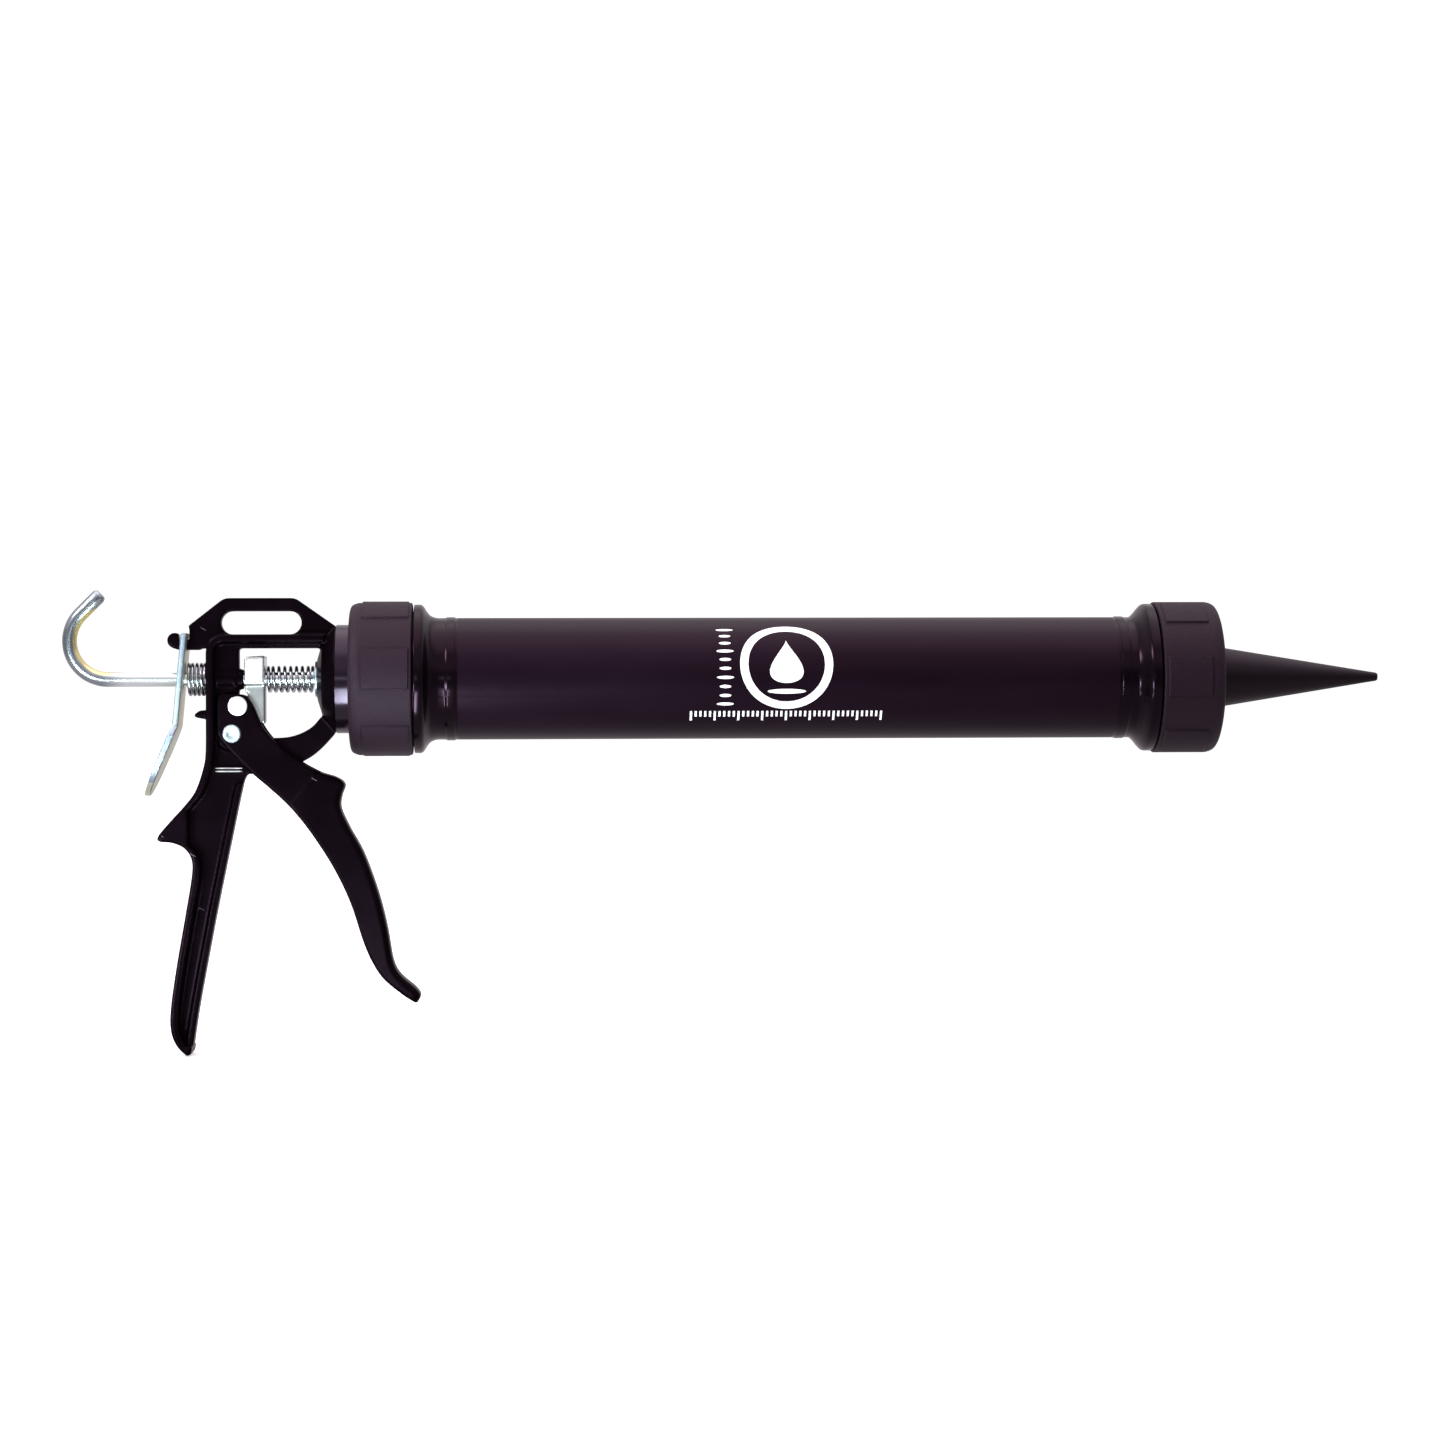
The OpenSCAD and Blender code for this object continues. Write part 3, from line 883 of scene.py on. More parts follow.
@dataclass
class Lathe:
    """Turns closed profiles into meshes.

    On an axis along the gun, angle 0 faces the near side and 90 is the top.
    """

    axis: Axis = Axis.ALONG
    centre: tuple[float, float] = (0.0, 0.0)
    angles: Sequence[float] = field(default_factory=lambda: even_angles(96))
    sharp: float = 38.0

    def turn(
        self,
        part: Part,
        making: str,
        corners: Sequence[Corner],
        swell: Callable[[float, float, float], float] | None = None,
        steps: int = 4,
    ) -> None:
        """Makes a turned piece and hands it over.

        Args:
            part: What it stands for.
            making: How it is made, which ends its name.
            corners: Its closed profile.
            swell: What to add to the radius, from the angle, the place along and the radius.
            steps: Pieces in each fillet of the profile.
        """
        profile = rounded(corners, steps)
        bm = bmesh.new()
        rings = []
        for angle in self.angles:
            ring = []
            for along, radius in profile:
                r = radius + (swell(angle, along, radius) if swell else 0.0)
                ring.append(bm.verts.new(self._point(angle, along, r)))
            rings.append(ring)
        count = len(profile)
        for k, ring in enumerate(rings):
            other = rings[(k + 1) % len(rings)]
            for i in range(count):
                j = (i + 1) % count
                if max(profile[i][1], profile[j][1]) > 0:
                    bm.faces.new((ring[i], ring[j], other[j], other[i]))
        bmesh.ops.remove_doubles(bm, verts=bm.verts, dist=1e-7)
        bmesh.ops.dissolve_degenerate(bm, edges=bm.edges, dist=1e-8)
        bmesh.ops.recalc_face_normals(bm, faces=bm.faces)
        mesh = bpy.data.meshes.new(part.node)
        bm.to_mesh(mesh)
        bm.free()
        mesh.shade_smooth()
        mesh.set_sharp_from_angle(angle=math.radians(self.sharp))
        dress(mesh, part.finish)
        part.claim(add_piece(mesh, f"{part.node}_{making}"))

    def _point(self, angle: float, along: float, radius: float) -> Vector:
        """A point of the turned surface.

        Args:
            angle: Round the axis, in degrees.
            along: Along the axis, in mm.
            radius: From the axis, in mm.

        Returns:
            The point in the frame.
        """
        a = math.radians(angle)
        if self.axis is Axis.ALONG:
            return at(along, -radius * math.cos(a), radius * math.sin(a))
        x, z = self.centre
        return at(x + radius * math.cos(a), along, z + radius * math.sin(a))


def smooth_step(value: float, low: float, high: float) -> float:
    """A smooth step from 0 at low to 1 at high."""
    t = min(1.0, max(0.0, (value - low) / (high - low)))
    return t * t * (3 - 2 * t)


@dataclass(frozen=True)
class GripPads:
    """Raised pads round a cap, which a hand turns it by."""

    start: float
    end: float
    phase: float
    inside: float
    count: int = 6
    rise: float = 0.8
    edge: float = 0.5

    def places(self) -> list[float]:
        """The angles of the pads' sides, in degrees."""
        step = 360 / self.count
        return [self.phase + step * (k + side / 4) for k in range(self.count) for side in (-1, 1)]

    def rows(self, radius: float) -> list[Corner]:
        """Extra points of the profile where the pads begin and end.

        Args:
            radius: The cap's radius there.

        Returns:
            The points in order along the cap.
        """
        offsets = [-0.1, 0.1, 0.3, self.edge]
        alongs = [self.start + o for o in offsets] + [self.end - o for o in reversed(offsets)]
        return [Corner(x, radius, 0.0) for x in alongs]

    def swell(self, angle: float, along: float, radius: float) -> float:
        """How far the surface stands out.

        Args:
            angle: Round the axis, in degrees.
            along: Along the axis, in mm.
            radius: From the axis, in mm.

        Returns:
            The rise in mm.
        """
        if radius < self.inside:
            return 0.0
        step = 360 / self.count
        off = abs((angle - self.phase + step / 2) % step - step / 2)
        side = 1 - smooth_step(off, step / 4 - 0.4, step / 4 + 0.4)
        ends = smooth_step(along, self.start - 0.1, self.start + self.edge)
        ends *= 1 - smooth_step(along, self.end - self.edge, self.end + 0.1)
        return self.rise * side * ends


# ---------------------------------------------------------------- geometry node trees


class Grower(Board):
    """A Geometry Nodes tree with named inputs that ends in realised, dressed geometry."""

    def __init__(self, name: str, inputs: dict[str, str]) -> None:
        """Starts the tree.

        Args:
            name: The tree's name.
            inputs: The type of each named input.
        """
        super().__init__(bpy.data.node_groups.new(name, "GeometryNodeTree"))
        face = self.tree.interface
        face.new_socket("Geometry", in_out="INPUT", socket_type="NodeSocketGeometry")
        face.new_socket("Geometry", in_out="OUTPUT", socket_type="NodeSocketGeometry")
        self.keys = {"Geometry": ""}
        for key, kind in {**inputs, "Finish": "Material"}.items():
            made = face.new_socket(key, in_out="INPUT", socket_type=f"NodeSocket{kind}")
            self.keys[key] = made.identifier
        self.given = self.node("NodeGroupInput").outputs

    def joined(self, *parts: bpy.types.NodeSocket) -> bpy.types.NodeSocket:
        """Several geometries as one.

        Args:
            parts: The geometries.

        Returns:
            All of them.
        """
        made = self.node("GeometryNodeJoinGeometry")
        for part in parts:
            self.tree.links.new(part, made.inputs[0])
        return made.outputs[0]

    def close(self, geometry: bpy.types.NodeSocket) -> None:
        """Ends the tree.

        Args:
            geometry: What has been grown.
        """
        smooth = self.node("GeometryNodeSetShadeSmooth", {0: geometry})
        real = self.node("GeometryNodeRealizeInstances", {0: smooth.outputs[0]})
        dressed = self.node(
            "GeometryNodeSetMaterial",
            {"Geometry": real.outputs[0], "Material": self.given["Finish"]},
        )
        self.node("NodeGroupOutput", {0: dressed.outputs[0]})

    def grow(
        self, base: bpy.types.Mesh, name: str, finish: Finish, **values: float
    ) -> bpy.types.Object:
        """Runs the tree on a mesh.

        Args:
            base: The mesh that the tree starts from.
            name: The new piece's name.
            finish: Its finish.
            values: The named inputs, with _ for a space.

        Returns:
            The piece as plain mesh.
        """
        piece = add_piece(base, name)
        modifier = piece.modifiers.new("grow", "NODES")
        modifier.node_group = self.tree
        modifier[self.keys["Finish"]] = finish.material()
        for key, value in values.items():
            modifier[self.keys[key.replace("_", " ")]] = value
        settled(piece)
        piece.data.set_sharp_from_angle(angle=math.radians(40))
        return piece


class Sweep(Grower):
    """Round wire or rod along a path; the path's girth attribute scales it at each point."""

    def __init__(self) -> None:
        """Builds the tree."""
        super().__init__("sweep", {"Radius": "Float", "Sides": "Int"})
        path = self.node("GeometryNodeMeshToCurve", {"Mesh": self.given["Geometry"]})
        ring = self.node(
            "GeometryNodeCurvePrimitiveCircle",
            {"Resolution": self.given["Sides"], "Radius": self.given["Radius"]},
        )
        girth = self.node("GeometryNodeInputNamedAttribute", {"Name": "girth"}, data_type="FLOAT")
        tube = self.node(
            "GeometryNodeCurveToMesh",
            {
                "Curve": path.outputs[0],
                "Profile Curve": ring.outputs[0],
                "Scale": girth.outputs[0],
                "Fill Caps": True,
            },
        )
        self.close(tube.outputs[0])

    @staticmethod
    def path(points: Sequence[Vector], girths: Sequence[float] | None = None) -> bpy.types.Mesh:
        """A path as a chain of edges.

        Args:
            points: The path's points in the frame.
            girths: How thick the wire is at each point, 1 if left out.

        Returns:
            The mesh.
        """
        mesh = bpy.data.meshes.new("path")
        steps = [(k, k + 1) for k in range(len(points) - 1)]
        mesh.from_pydata([tuple(p) for p in points], steps, [])
        girth = mesh.attributes.new("girth", "FLOAT", "POINT")
        girth.data.foreach_set("value", list(girths) if girths else [1.0] * len(points))
        return mesh


class Scale(Grower):
    """A row of graduation ticks beside flat artwork, wrapped round a tube as a film of ink."""

    MAJOR_EVERY = 5.0

    def __init__(self) -> None:
        """Builds the tree."""
        sizes = ("Tube Radius", "Film", "Pitch", "Tick Width", "Tick Length", "Major Length")
        kinds = {**dict.fromkeys(sizes, "Float"), "Ticks": "Int", "Start": "Vector"}
        super().__init__("scale", kinds)
        given = self.given
        ticks, pitch = Shade(self, given["Ticks"]), Shade(self, given["Pitch"])
        majors = (ticks / self.MAJOR_EVERY).of("FLOOR") + 1.0
        row = self._row(ticks, pitch, given["Tick Length"])
        long_row = self._row(majors, pitch * self.MAJOR_EVERY, given["Major Length"])
        self.close(self._wrapped(self.joined(given["Geometry"], row, long_row)))

    def _row(
        self, count: Shade, pitch: Shade, length: bpy.types.NodeSocket
    ) -> bpy.types.NodeSocket:
        """One row of ticks.

        Args:
            count: How many.
            pitch: The step between them.
            length: The length of a tick.

        Returns:
            The realised ticks.
        """
        given = self.given
        step = self.node("ShaderNodeCombineXYZ", {0: pitch})
        line = self.node(
            "GeometryNodeMeshLine",
            {"Count": count, "Start Location": given["Start"], "Offset": step.outputs[0]},
            mode="OFFSET",
        )
        tick = self.node(
            "GeometryNodeMeshGrid",
            {"Size X": given["Tick Width"], "Size Y": length, "Vertices X": 2, "Vertices Y": 5},
        )
        drop = self.node("ShaderNodeCombineXYZ", {1: Shade(self, length) * -0.5})
        hung = self.node(
            "GeometryNodeTransform", {"Geometry": tick.outputs[0], "Translation": drop.outputs[0]}
        )
        placed = self.node(
            "GeometryNodeInstanceOnPoints", {"Points": line.outputs[0], "Instance": hung.outputs[0]}
        )
        return self.node("GeometryNodeRealizeInstances", {0: placed.outputs[0]}).outputs[0]

    def _wrapped(self, flat: bpy.types.NodeSocket) -> bpy.types.NodeSocket:
        """Gives the flat artwork its thickness and bends it round the tube.

        Args:
            flat: Artwork whose X is along the tube and whose Y is the arc above the near side.

        Returns:
            The wrapped film.
        """
        given = self.given
        film = self.node(
            "GeometryNodeExtrudeMesh",
            {"Mesh": flat, "Offset Scale": given["Film"], "Individual": False},
        )
        under = self.node("GeometryNodeFlipFaces", {0: flat})
        both = self.joined(film.outputs[0], under.outputs[0])
        closed = self.node("GeometryNodeMergeByDistance", {"Geometry": both, "Distance": 1e-6})
        along, arc, rise = self.split(self.node("GeometryNodeInputPosition").outputs[0])
        tube = Shade(self, given["Tube Radius"])
        angle, radius = arc / tube, tube + rise
        bent = self.node(
            "ShaderNodeCombineXYZ",
            {0: along, 1: radius * angle.of("COSINE") * -1.0, 2: radius * angle.of("SINE")},
        )
        moved = self.node(
            "GeometryNodeSetPosition", {"Geometry": closed.outputs[0], "Position": bent.outputs[0]}
        )
        return moved.outputs[0]


# ---------------------------------------------------------------- castings


@dataclass(frozen=True)
class RoundedSide:
    """One outer side of a flat casting, rounded across its width."""

    facing: float
    radius: float
    clear_of: tuple[tuple[float, float], ...] = ()


@dataclass
class Casting:
    """A flat casting or stamping whose edges are all softened, as a mould leaves them."""

    part: Part
    voxel: float = 0.55
    passes: int = 6
    sides: tuple[RoundedSide, ...] = ()

    def build(self, shape: Callable[[np.ndarray], np.ndarray] | None = None) -> None:
        """Makes the softened piece from the CAD node.

        Args:
            shape: A last change to the vertices, in metres.
        """
        bm = bmesh.new()
        bm.from_mesh(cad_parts[self.part.node].data)
        bmesh.ops.remove_doubles(bm, verts=bm.verts, dist=1e-6)
        mesh = bpy.data.meshes.new(self.part.node)
        bm.to_mesh(mesh)
        walls = [self._wall(bm, side) for side in self.sides]
        bm.free()
        piece = add_piece(mesh, f"{self.part.node}_soft")
        remesh = piece.modifiers.new("remesh", "REMESH")
        remesh.mode = "VOXEL"
        remesh.voxel_size = self.voxel * MM
        remesh.use_smooth_shade = True
        smooth = piece.modifiers.new("smooth", "SMOOTH")
        smooth.factor = 0.5
        smooth.iterations = self.passes
        settled(piece)
        points = np.empty(len(piece.data.vertices) * 3, np.float32)
        piece.data.vertices.foreach_get("co", points)
        points = points.reshape(-1, 3)
        for side, wall in zip(self.sides, walls):
            points = self._round(points, side, wall)
        if shape:
            points = shape(points)
        piece.data.vertices.foreach_set("co", points.astype(np.float32).ravel())
        piece.data.update()
        dress(piece.data, self.part.finish)
        self.part.claim(piece)

    @staticmethod
    def _wall(bm: bmesh.types.BMesh, side: RoundedSide) -> BVHTree:
        """The faces of one outer side.

        Args:
            bm: The merged CAD mesh.
            side: Which side.

        Returns:
            A tree that finds the nearest of them.
        """
        widest = max(v.co.y for v in bm.verts)
        chosen = []
        for face in bm.faces:
            centre = face.calc_center_median()
            reach = max(abs(v.co.y) for v in face.verts)
            near_hole = any(
                (centre.x - at(x, 0, 0).x) ** 2 + (centre.z - z * MM) ** 2 < (6 * MM) ** 2
                for x, z in side.clear_of
            )
            outward = face.normal.x * side.facing > 0.2 and abs(face.normal.y) < 0.1
            if outward and reach > widest - 0.2 * MM and not near_hole:
                chosen.append([v.index for v in face.verts])
        bm.verts.index_update()
        return BVHTree.FromPolygons([v.co for v in bm.verts], chosen)

    @staticmethod
    def _round(points: np.ndarray, side: RoundedSide, wall: BVHTree) -> np.ndarray:
        """Draws the widest edges in, so that the side's cross-section is round.

        Args:
            points: The vertices in metres.
            side: The side's radius.
            wall: The side's faces.

        Returns:
            The new vertices.
        """
        radius = side.radius * MM
        half = np.abs(points[:, 1]).max()
        for k in np.nonzero(np.abs(points[:, 1]) > half - 2 * radius)[0]:
            x, y, z = (float(c) for c in points[k])
            depth = wall.find_nearest(Vector((x, 0.0, z)), radius)[3]
            if depth is not None:
                inset = radius - math.sqrt(max(0.0, radius**2 - (radius - depth) ** 2))
                points[k, 1] = math.copysign(abs(y) * (half - inset) / half, y)
        return points


# ---------------------------------------------------------------- sub-assemblies


@dataclass
class Handle:
    """Pistol handle: the casting with its hanging loop, and the raised lines on its grip, coloured
    bright as a painted highlight.
    """

    line_heights: tuple[float, float] = (-39.3, -40.7)
    line_ends: tuple[float, float] = (-53.4, -41.6)
    line_radius: float = 0.34
    line_rise: float = 0.4
    web: float = 8.0
    back_radius: float = 2.6

    def build(self) -> None:
        """Builds the handle."""
        part = Part("handle_frame", "frame", "black_casting", ENAMEL)
        Casting(part, sides=(RoundedSide(-1.0, self.back_radius),)).build()
        sweep = Sweep()
        girths = [0.5] + [1.0] * 7 + [0.5]
        for side, name in ((-1, "near"), (1, "far")):
            y = side * (self.web / 2 + self.line_rise)
            for k, height in enumerate(self.line_heights, 1):
                points = [at(x, y, height) for x in np.linspace(*self.line_ends, len(girths))]
                # The raised lines take a bright colour, a painted highlight along them.
                line = sweep.grow(
                    Sweep.path(points, girths),
                    f"grip_line_{name}_{k}",
                    GRIP_LINE_HIGHLIGHT,
                    Radius=self.line_radius * MM,
                    Sides=12,
                )
                hand_over(line, "frame", "black_casting")


@dataclass
class Trigger:
    """Trigger lever with its pivot rivet, washer, and the pin and roller that push the dog."""

    crease: tuple[tuple[float, float], tuple[float, float]] = ((-8.7, -42.0), (-20.4, -57.3))
    crease_depth: float = 0.3
    crease_width: float = 1.1
    crease_reach: float = 16.0
    crease_middle: float = 9.0
    cheek: float = 7.5
    front_radius: float = 2.8
    rivet_dimple: float = 2.3
    dimple_depth: float = 0.45
    rivet_radius: float = 3.0
    pin_radius: float = 2.5
    head_radius: float = 4.3
    washer_bore: float = 3.15
    washer_radius: float = 5.2
    roller_bore: float = 2.58
    roller_radius: float = 4.0

    def build(self) -> None:
        """Builds the trigger and what turns with it."""
        pivot, pin = centre_of("pivot_rivet"), centre_of("roller_pin")
        part = Part("trigger", "trigger", "black_casting", ENAMEL)
        side = RoundedSide(1.0, self.front_radius, (pivot, pin))
        Casting(part, sides=(side,)).build(self._creased)
        self._rivet(Lathe(Axis.ACROSS, pivot, even_angles(64)))
        self._pin(Lathe(Axis.ACROSS, pin, even_angles(64)))

    def _creased(self, points: np.ndarray) -> np.ndarray:
        """Presses the crease that parts the lever's arm from its finger grip.

        Args:
            points: The vertices in metres.

        Returns:
            The new vertices.
        """
        (x0, z0), (x1, z1) = self.crease
        run = np.array((x1 - x0, z1 - z0))
        run /= np.linalg.norm(run)
        flat = np.stack(((points[:, 0] - DATUM) / MM - x0, points[:, 2] / MM - z0), axis=1)
        across = flat @ np.array((-run[1], run[0]))
        groove = np.exp(-((across / self.crease_width) ** 2)) * self.crease_depth
        outer = np.abs(points[:, 1]) > self.cheek * MM
        near = np.abs(flat @ run - self.crease_middle) < self.crease_reach
        points[:, 1] -= np.where(outer & near, np.sign(points[:, 1]) * groove * MM, 0.0)
        return points

    def _rivet(self, lathe: Lathe) -> None:
        """Makes the rivet, dimpled by its setting tool, and its washer.

        Args:
            lathe: Turns about the pivot.
        """
        low, high = sides_of("pivot_rivet")
        lathe.turn(
            Part("pivot_rivet", "frame", "zinc_steel", RIVET_ZINC),
            "set",
            [
                Corner(low + self.dimple_depth, 0.0),
                Corner(low + self.dimple_depth, self.rivet_dimple - 0.9, 0.4),
                Corner(low, self.rivet_dimple + 0.2, 0.3),
                Corner(low, 3.7, 0.3),
                Corner(low + 0.95, 4.2, 0.2),
                Corner(low + 1.0, self.rivet_radius, 0.0),
                Corner(high - 1.0, self.rivet_radius, 0.0),
                Corner(high - 0.9, 4.0, 0.2),
                Corner(high, 3.3, 0.5),
                Corner(high, 0.0),
            ],
        )
        near, far = sides_of("pivot_washer")
        lathe.turn(
            Part("pivot_washer", "frame", "zinc_steel", SMALL_ZINC),
            "turned",
            [
                Corner(near, self.washer_bore, 0.15),
                Corner(far, self.washer_bore, 0.15),
                Corner(far, self.washer_radius),
                Corner(near, self.washer_radius),
            ],
        )

    def _pin(self, lathe: Lathe) -> None:
        """Makes the roller's pin and the roller.

        Args:
            lathe: Turns about the pin.
        """
        low, high = sides_of("roller_pin")
        lathe.turn(
            Part("roller_pin", "trigger", "chrome_steel", PIN_STEEL),
            "turned",
            [
                Corner(low, 0.0),
                Corner(low, self.head_radius, 0.35),
                Corner(low + 0.6, self.head_radius, 0.1),
                Corner(low + 0.6, self.pin_radius, 0.0),
                Corner(high - 0.6, self.pin_radius, 0.0),
                Corner(high - 0.6, self.head_radius, 0.1),
                Corner(high, self.head_radius, 0.35),
                Corner(high, 0.0),
            ],
        )
        near, far = sides_of("drive_roller")
        lathe.turn(
            Part("drive_roller", "roller", "chrome_steel", CHROME),
            "turned",
            [
                Corner(near, self.roller_bore),
                Corner(far, self.roller_bore),
                Corner(far, self.roller_radius, 0.5),
                Corner(near, self.roller_radius, 0.5),
            ],
        )


@dataclass
class Drive:
    """What grips and frees the rod: dog, main spring and seat, release plate and its spring."""

    main_wire: float = 0.75
    main_turns: float = 8.5
    release_wire: float = 0.7
    release_turns: float = 4.5
    seat_bore: float = 3.65
    seat_radius: float = 7.9
    fine_voxel: float = 0.34

    def build(self) -> None:
        """Builds the drive."""
        dog = Part("drive_dog", "dog", "chrome_steel", DOG_STEEL)
        Casting(dog, self.fine_voxel, passes=22).build()
        plate = Part("release_plate", "catch", "zinc_steel", PLATE_ZINC)
        Casting(plate, self.fine_voxel, passes=10).build()
        self._spring("main_spring", self.main_wire, self.main_turns, "dog_slide", 0.69)
        self._spring("release_spring", self.release_wire, self.release_turns, "catch_tilt", 0.86)
        low, high = ends_of("spring_seat")
        Lathe(angles=even_angles(64)).turn(
            Part("spring_seat", "frame", "zinc_steel", SMALL_ZINC),
            "turned",
            [
                Corner(low, self.seat_bore),
                Corner(high, self.seat_bore),
                Corner(high, self.seat_radius),
                Corner(low, self.seat_radius),
            ],
        )
        dress_node("rod_bush", GUIDE_PLASTIC)

    @staticmethod
    def _spring(node: str, wire: float, turns: float, joint: str, keep: float) -> None:
        """Winds a compression spring with closed ends.

        Args:
            node: The CAD node that it stands for.
            wire: The wire's radius in mm.
            turns: Turns from end to end.
            joint: The joint that squeezes it; not used.
            keep: The share of its length that is left at the joint's limit; not used.
        """
        low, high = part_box(node)
        mean = (high.z - low.z) / 2 / MM - wire
        x0, x1 = local_x(low.x) + wire, local_x(high.x) - wire
        steps = round(turns * 40)
        dead = 0.7
        tight = 2 * wire * 0.9
        free = (x1 - x0 - 2 * dead * tight) / (turns - 2 * dead)
        points = []
        for k in range(steps + 1):
            turn = turns * k / steps
            closed = min(turn, dead) + max(0.0, turn - (turns - dead))
            along = x0 + closed * tight + (turn - closed) * free
            angle = 2 * math.pi * turn
            points.append(at(along, mean * math.cos(angle), mean * math.sin(angle)))
        path = Sweep.path(points)
        piece = Sweep().grow(path, f"{node}_wound", SPRING_WIRE, Radius=wire * MM, Sides=14)
        hand_over(piece, "frame", "spring_steel", node)
        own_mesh(piece)


@dataclass
class Plunger:
    """Thrust rod with its pulling hook, and the piston clamped on its front end."""

    radius: float = 3.25
    end_radius: float = 2.5
    hook_radius: float = 17.0
    hook_angle: float = 135.0
    lead: float = 12.5
    hook_start: float = -100.5

    def build(self) -> None:
        """Builds the plunger."""
        bend = (at(self.hook_start, 0, 0).x, self.hook_radius * MM, self.hook_radius * MM)
        tones = (0.86, 0.95, 0.97), (0.88, 0.92, 0.80)
        steel = ZincPlate("zinc_rod", *tones, 0.30, roughness=0.13, bend=bend)
        radius = self.radius * MM
        rod = Sweep().grow(self._path(), "thrust_rod_bent", steel, Radius=radius, Sides=40)
        hand_over(rod, "plunger", "zinc_steel", "thrust_rod")
        finishes = {
            "piston_disc": SMALL_ZINC,
            "piston_cup": PISTON_PLASTIC,
            "piston_seal": SEAL_RUBBER,
            "piston_washer": SMALL_ZINC,
            "piston_nut": SMALL_ZINC,
        }
        for node, finish in finishes.items():
            dress_node(node, finish)

    def _path(self) -> bpy.types.Mesh:
        """The rod's path, from its front end back and round the hook.

        Returns:
            The path, with its girth at each point.
        """
        front, step = ends_of("thrust_rod")[1], ends_of("piston_disc")[0]
        thin = self.end_radius / self.radius
        stops = [(front, thin * 0.8), (front - 0.6, thin), (step + 0.02, thin), (step, 1.0)]
        stops += [(x, 1.0) for x in np.linspace(step - 1, self.hook_start, 24)]
        points = [at(x, 0, 0) for x, _ in stops]
        girths = [g for _, g in stops]
        bends, bend = 36, self.hook_radius
        for k in range(1, bends + 1):
            a = math.radians(-90 - self.hook_angle * k / bends)
            points.append(at(self.hook_start + bend * math.cos(a), 0, bend + bend * math.sin(a)))
            girths.append(1.0)
        last = points[-1]
        way = Vector((1, 0, 1)).normalized() * MM
        tail = ((3.0, 1.0), (7.0, 1.0), (self.lead - 1.6, 1.0), (self.lead - 0.5, 0.86))
        for along, girth in (*tail, (self.lead, 0.66)):
            points.append(last + way * along)
            girths.append(girth)
        return Sweep.path(points, girths)


class Artwork:
    """Flat artwork of small faces, with X along the tube and Y the arc above its near side."""

    def __init__(self, centre: tuple[float, float]) -> None:
        """Starts a blank sheet.

        Args:
            centre: The point that outlines are drawn about, in mm.
        """
        self.centre = centre
        self.points: list[tuple[float, float, float]] = []
        self.faces: list[tuple[int, ...]] = []

    def strip(self, inner: Outline, outer: Outline, rows: int) -> None:
        """Adds a closed band of faces between two outlines with as many points.

        Args:
            inner: One outline.
            outer: The other.
            rows: Rows of faces between them.
        """
        cx, cy = self.centre
        base, count = len(self.points), len(inner)
        for row in range(rows + 1):
            t = row / rows
            for (ax, ay), (bx, by) in zip(inner, outer):
                u, v = ax + (bx - ax) * t, ay + (by - ay) * t
                self.points.append((at(cx + u, 0, 0).x, (cy + v) * MM, 0.0))
        for row in range(rows):
            a, b = base + row * count, base + (row + 1) * count
            for k in range(count):
                j = (k + 1) % count
                self.faces.append((a + k, b + k, b + j, a + j))

    def mesh(self) -> bpy.types.Mesh:
        """The artwork as a mesh.

        Returns:
            The mesh, still flat.
        """
        made = bpy.data.meshes.new("art")
        made.from_pydata(self.points, [], self.faces)
        return made


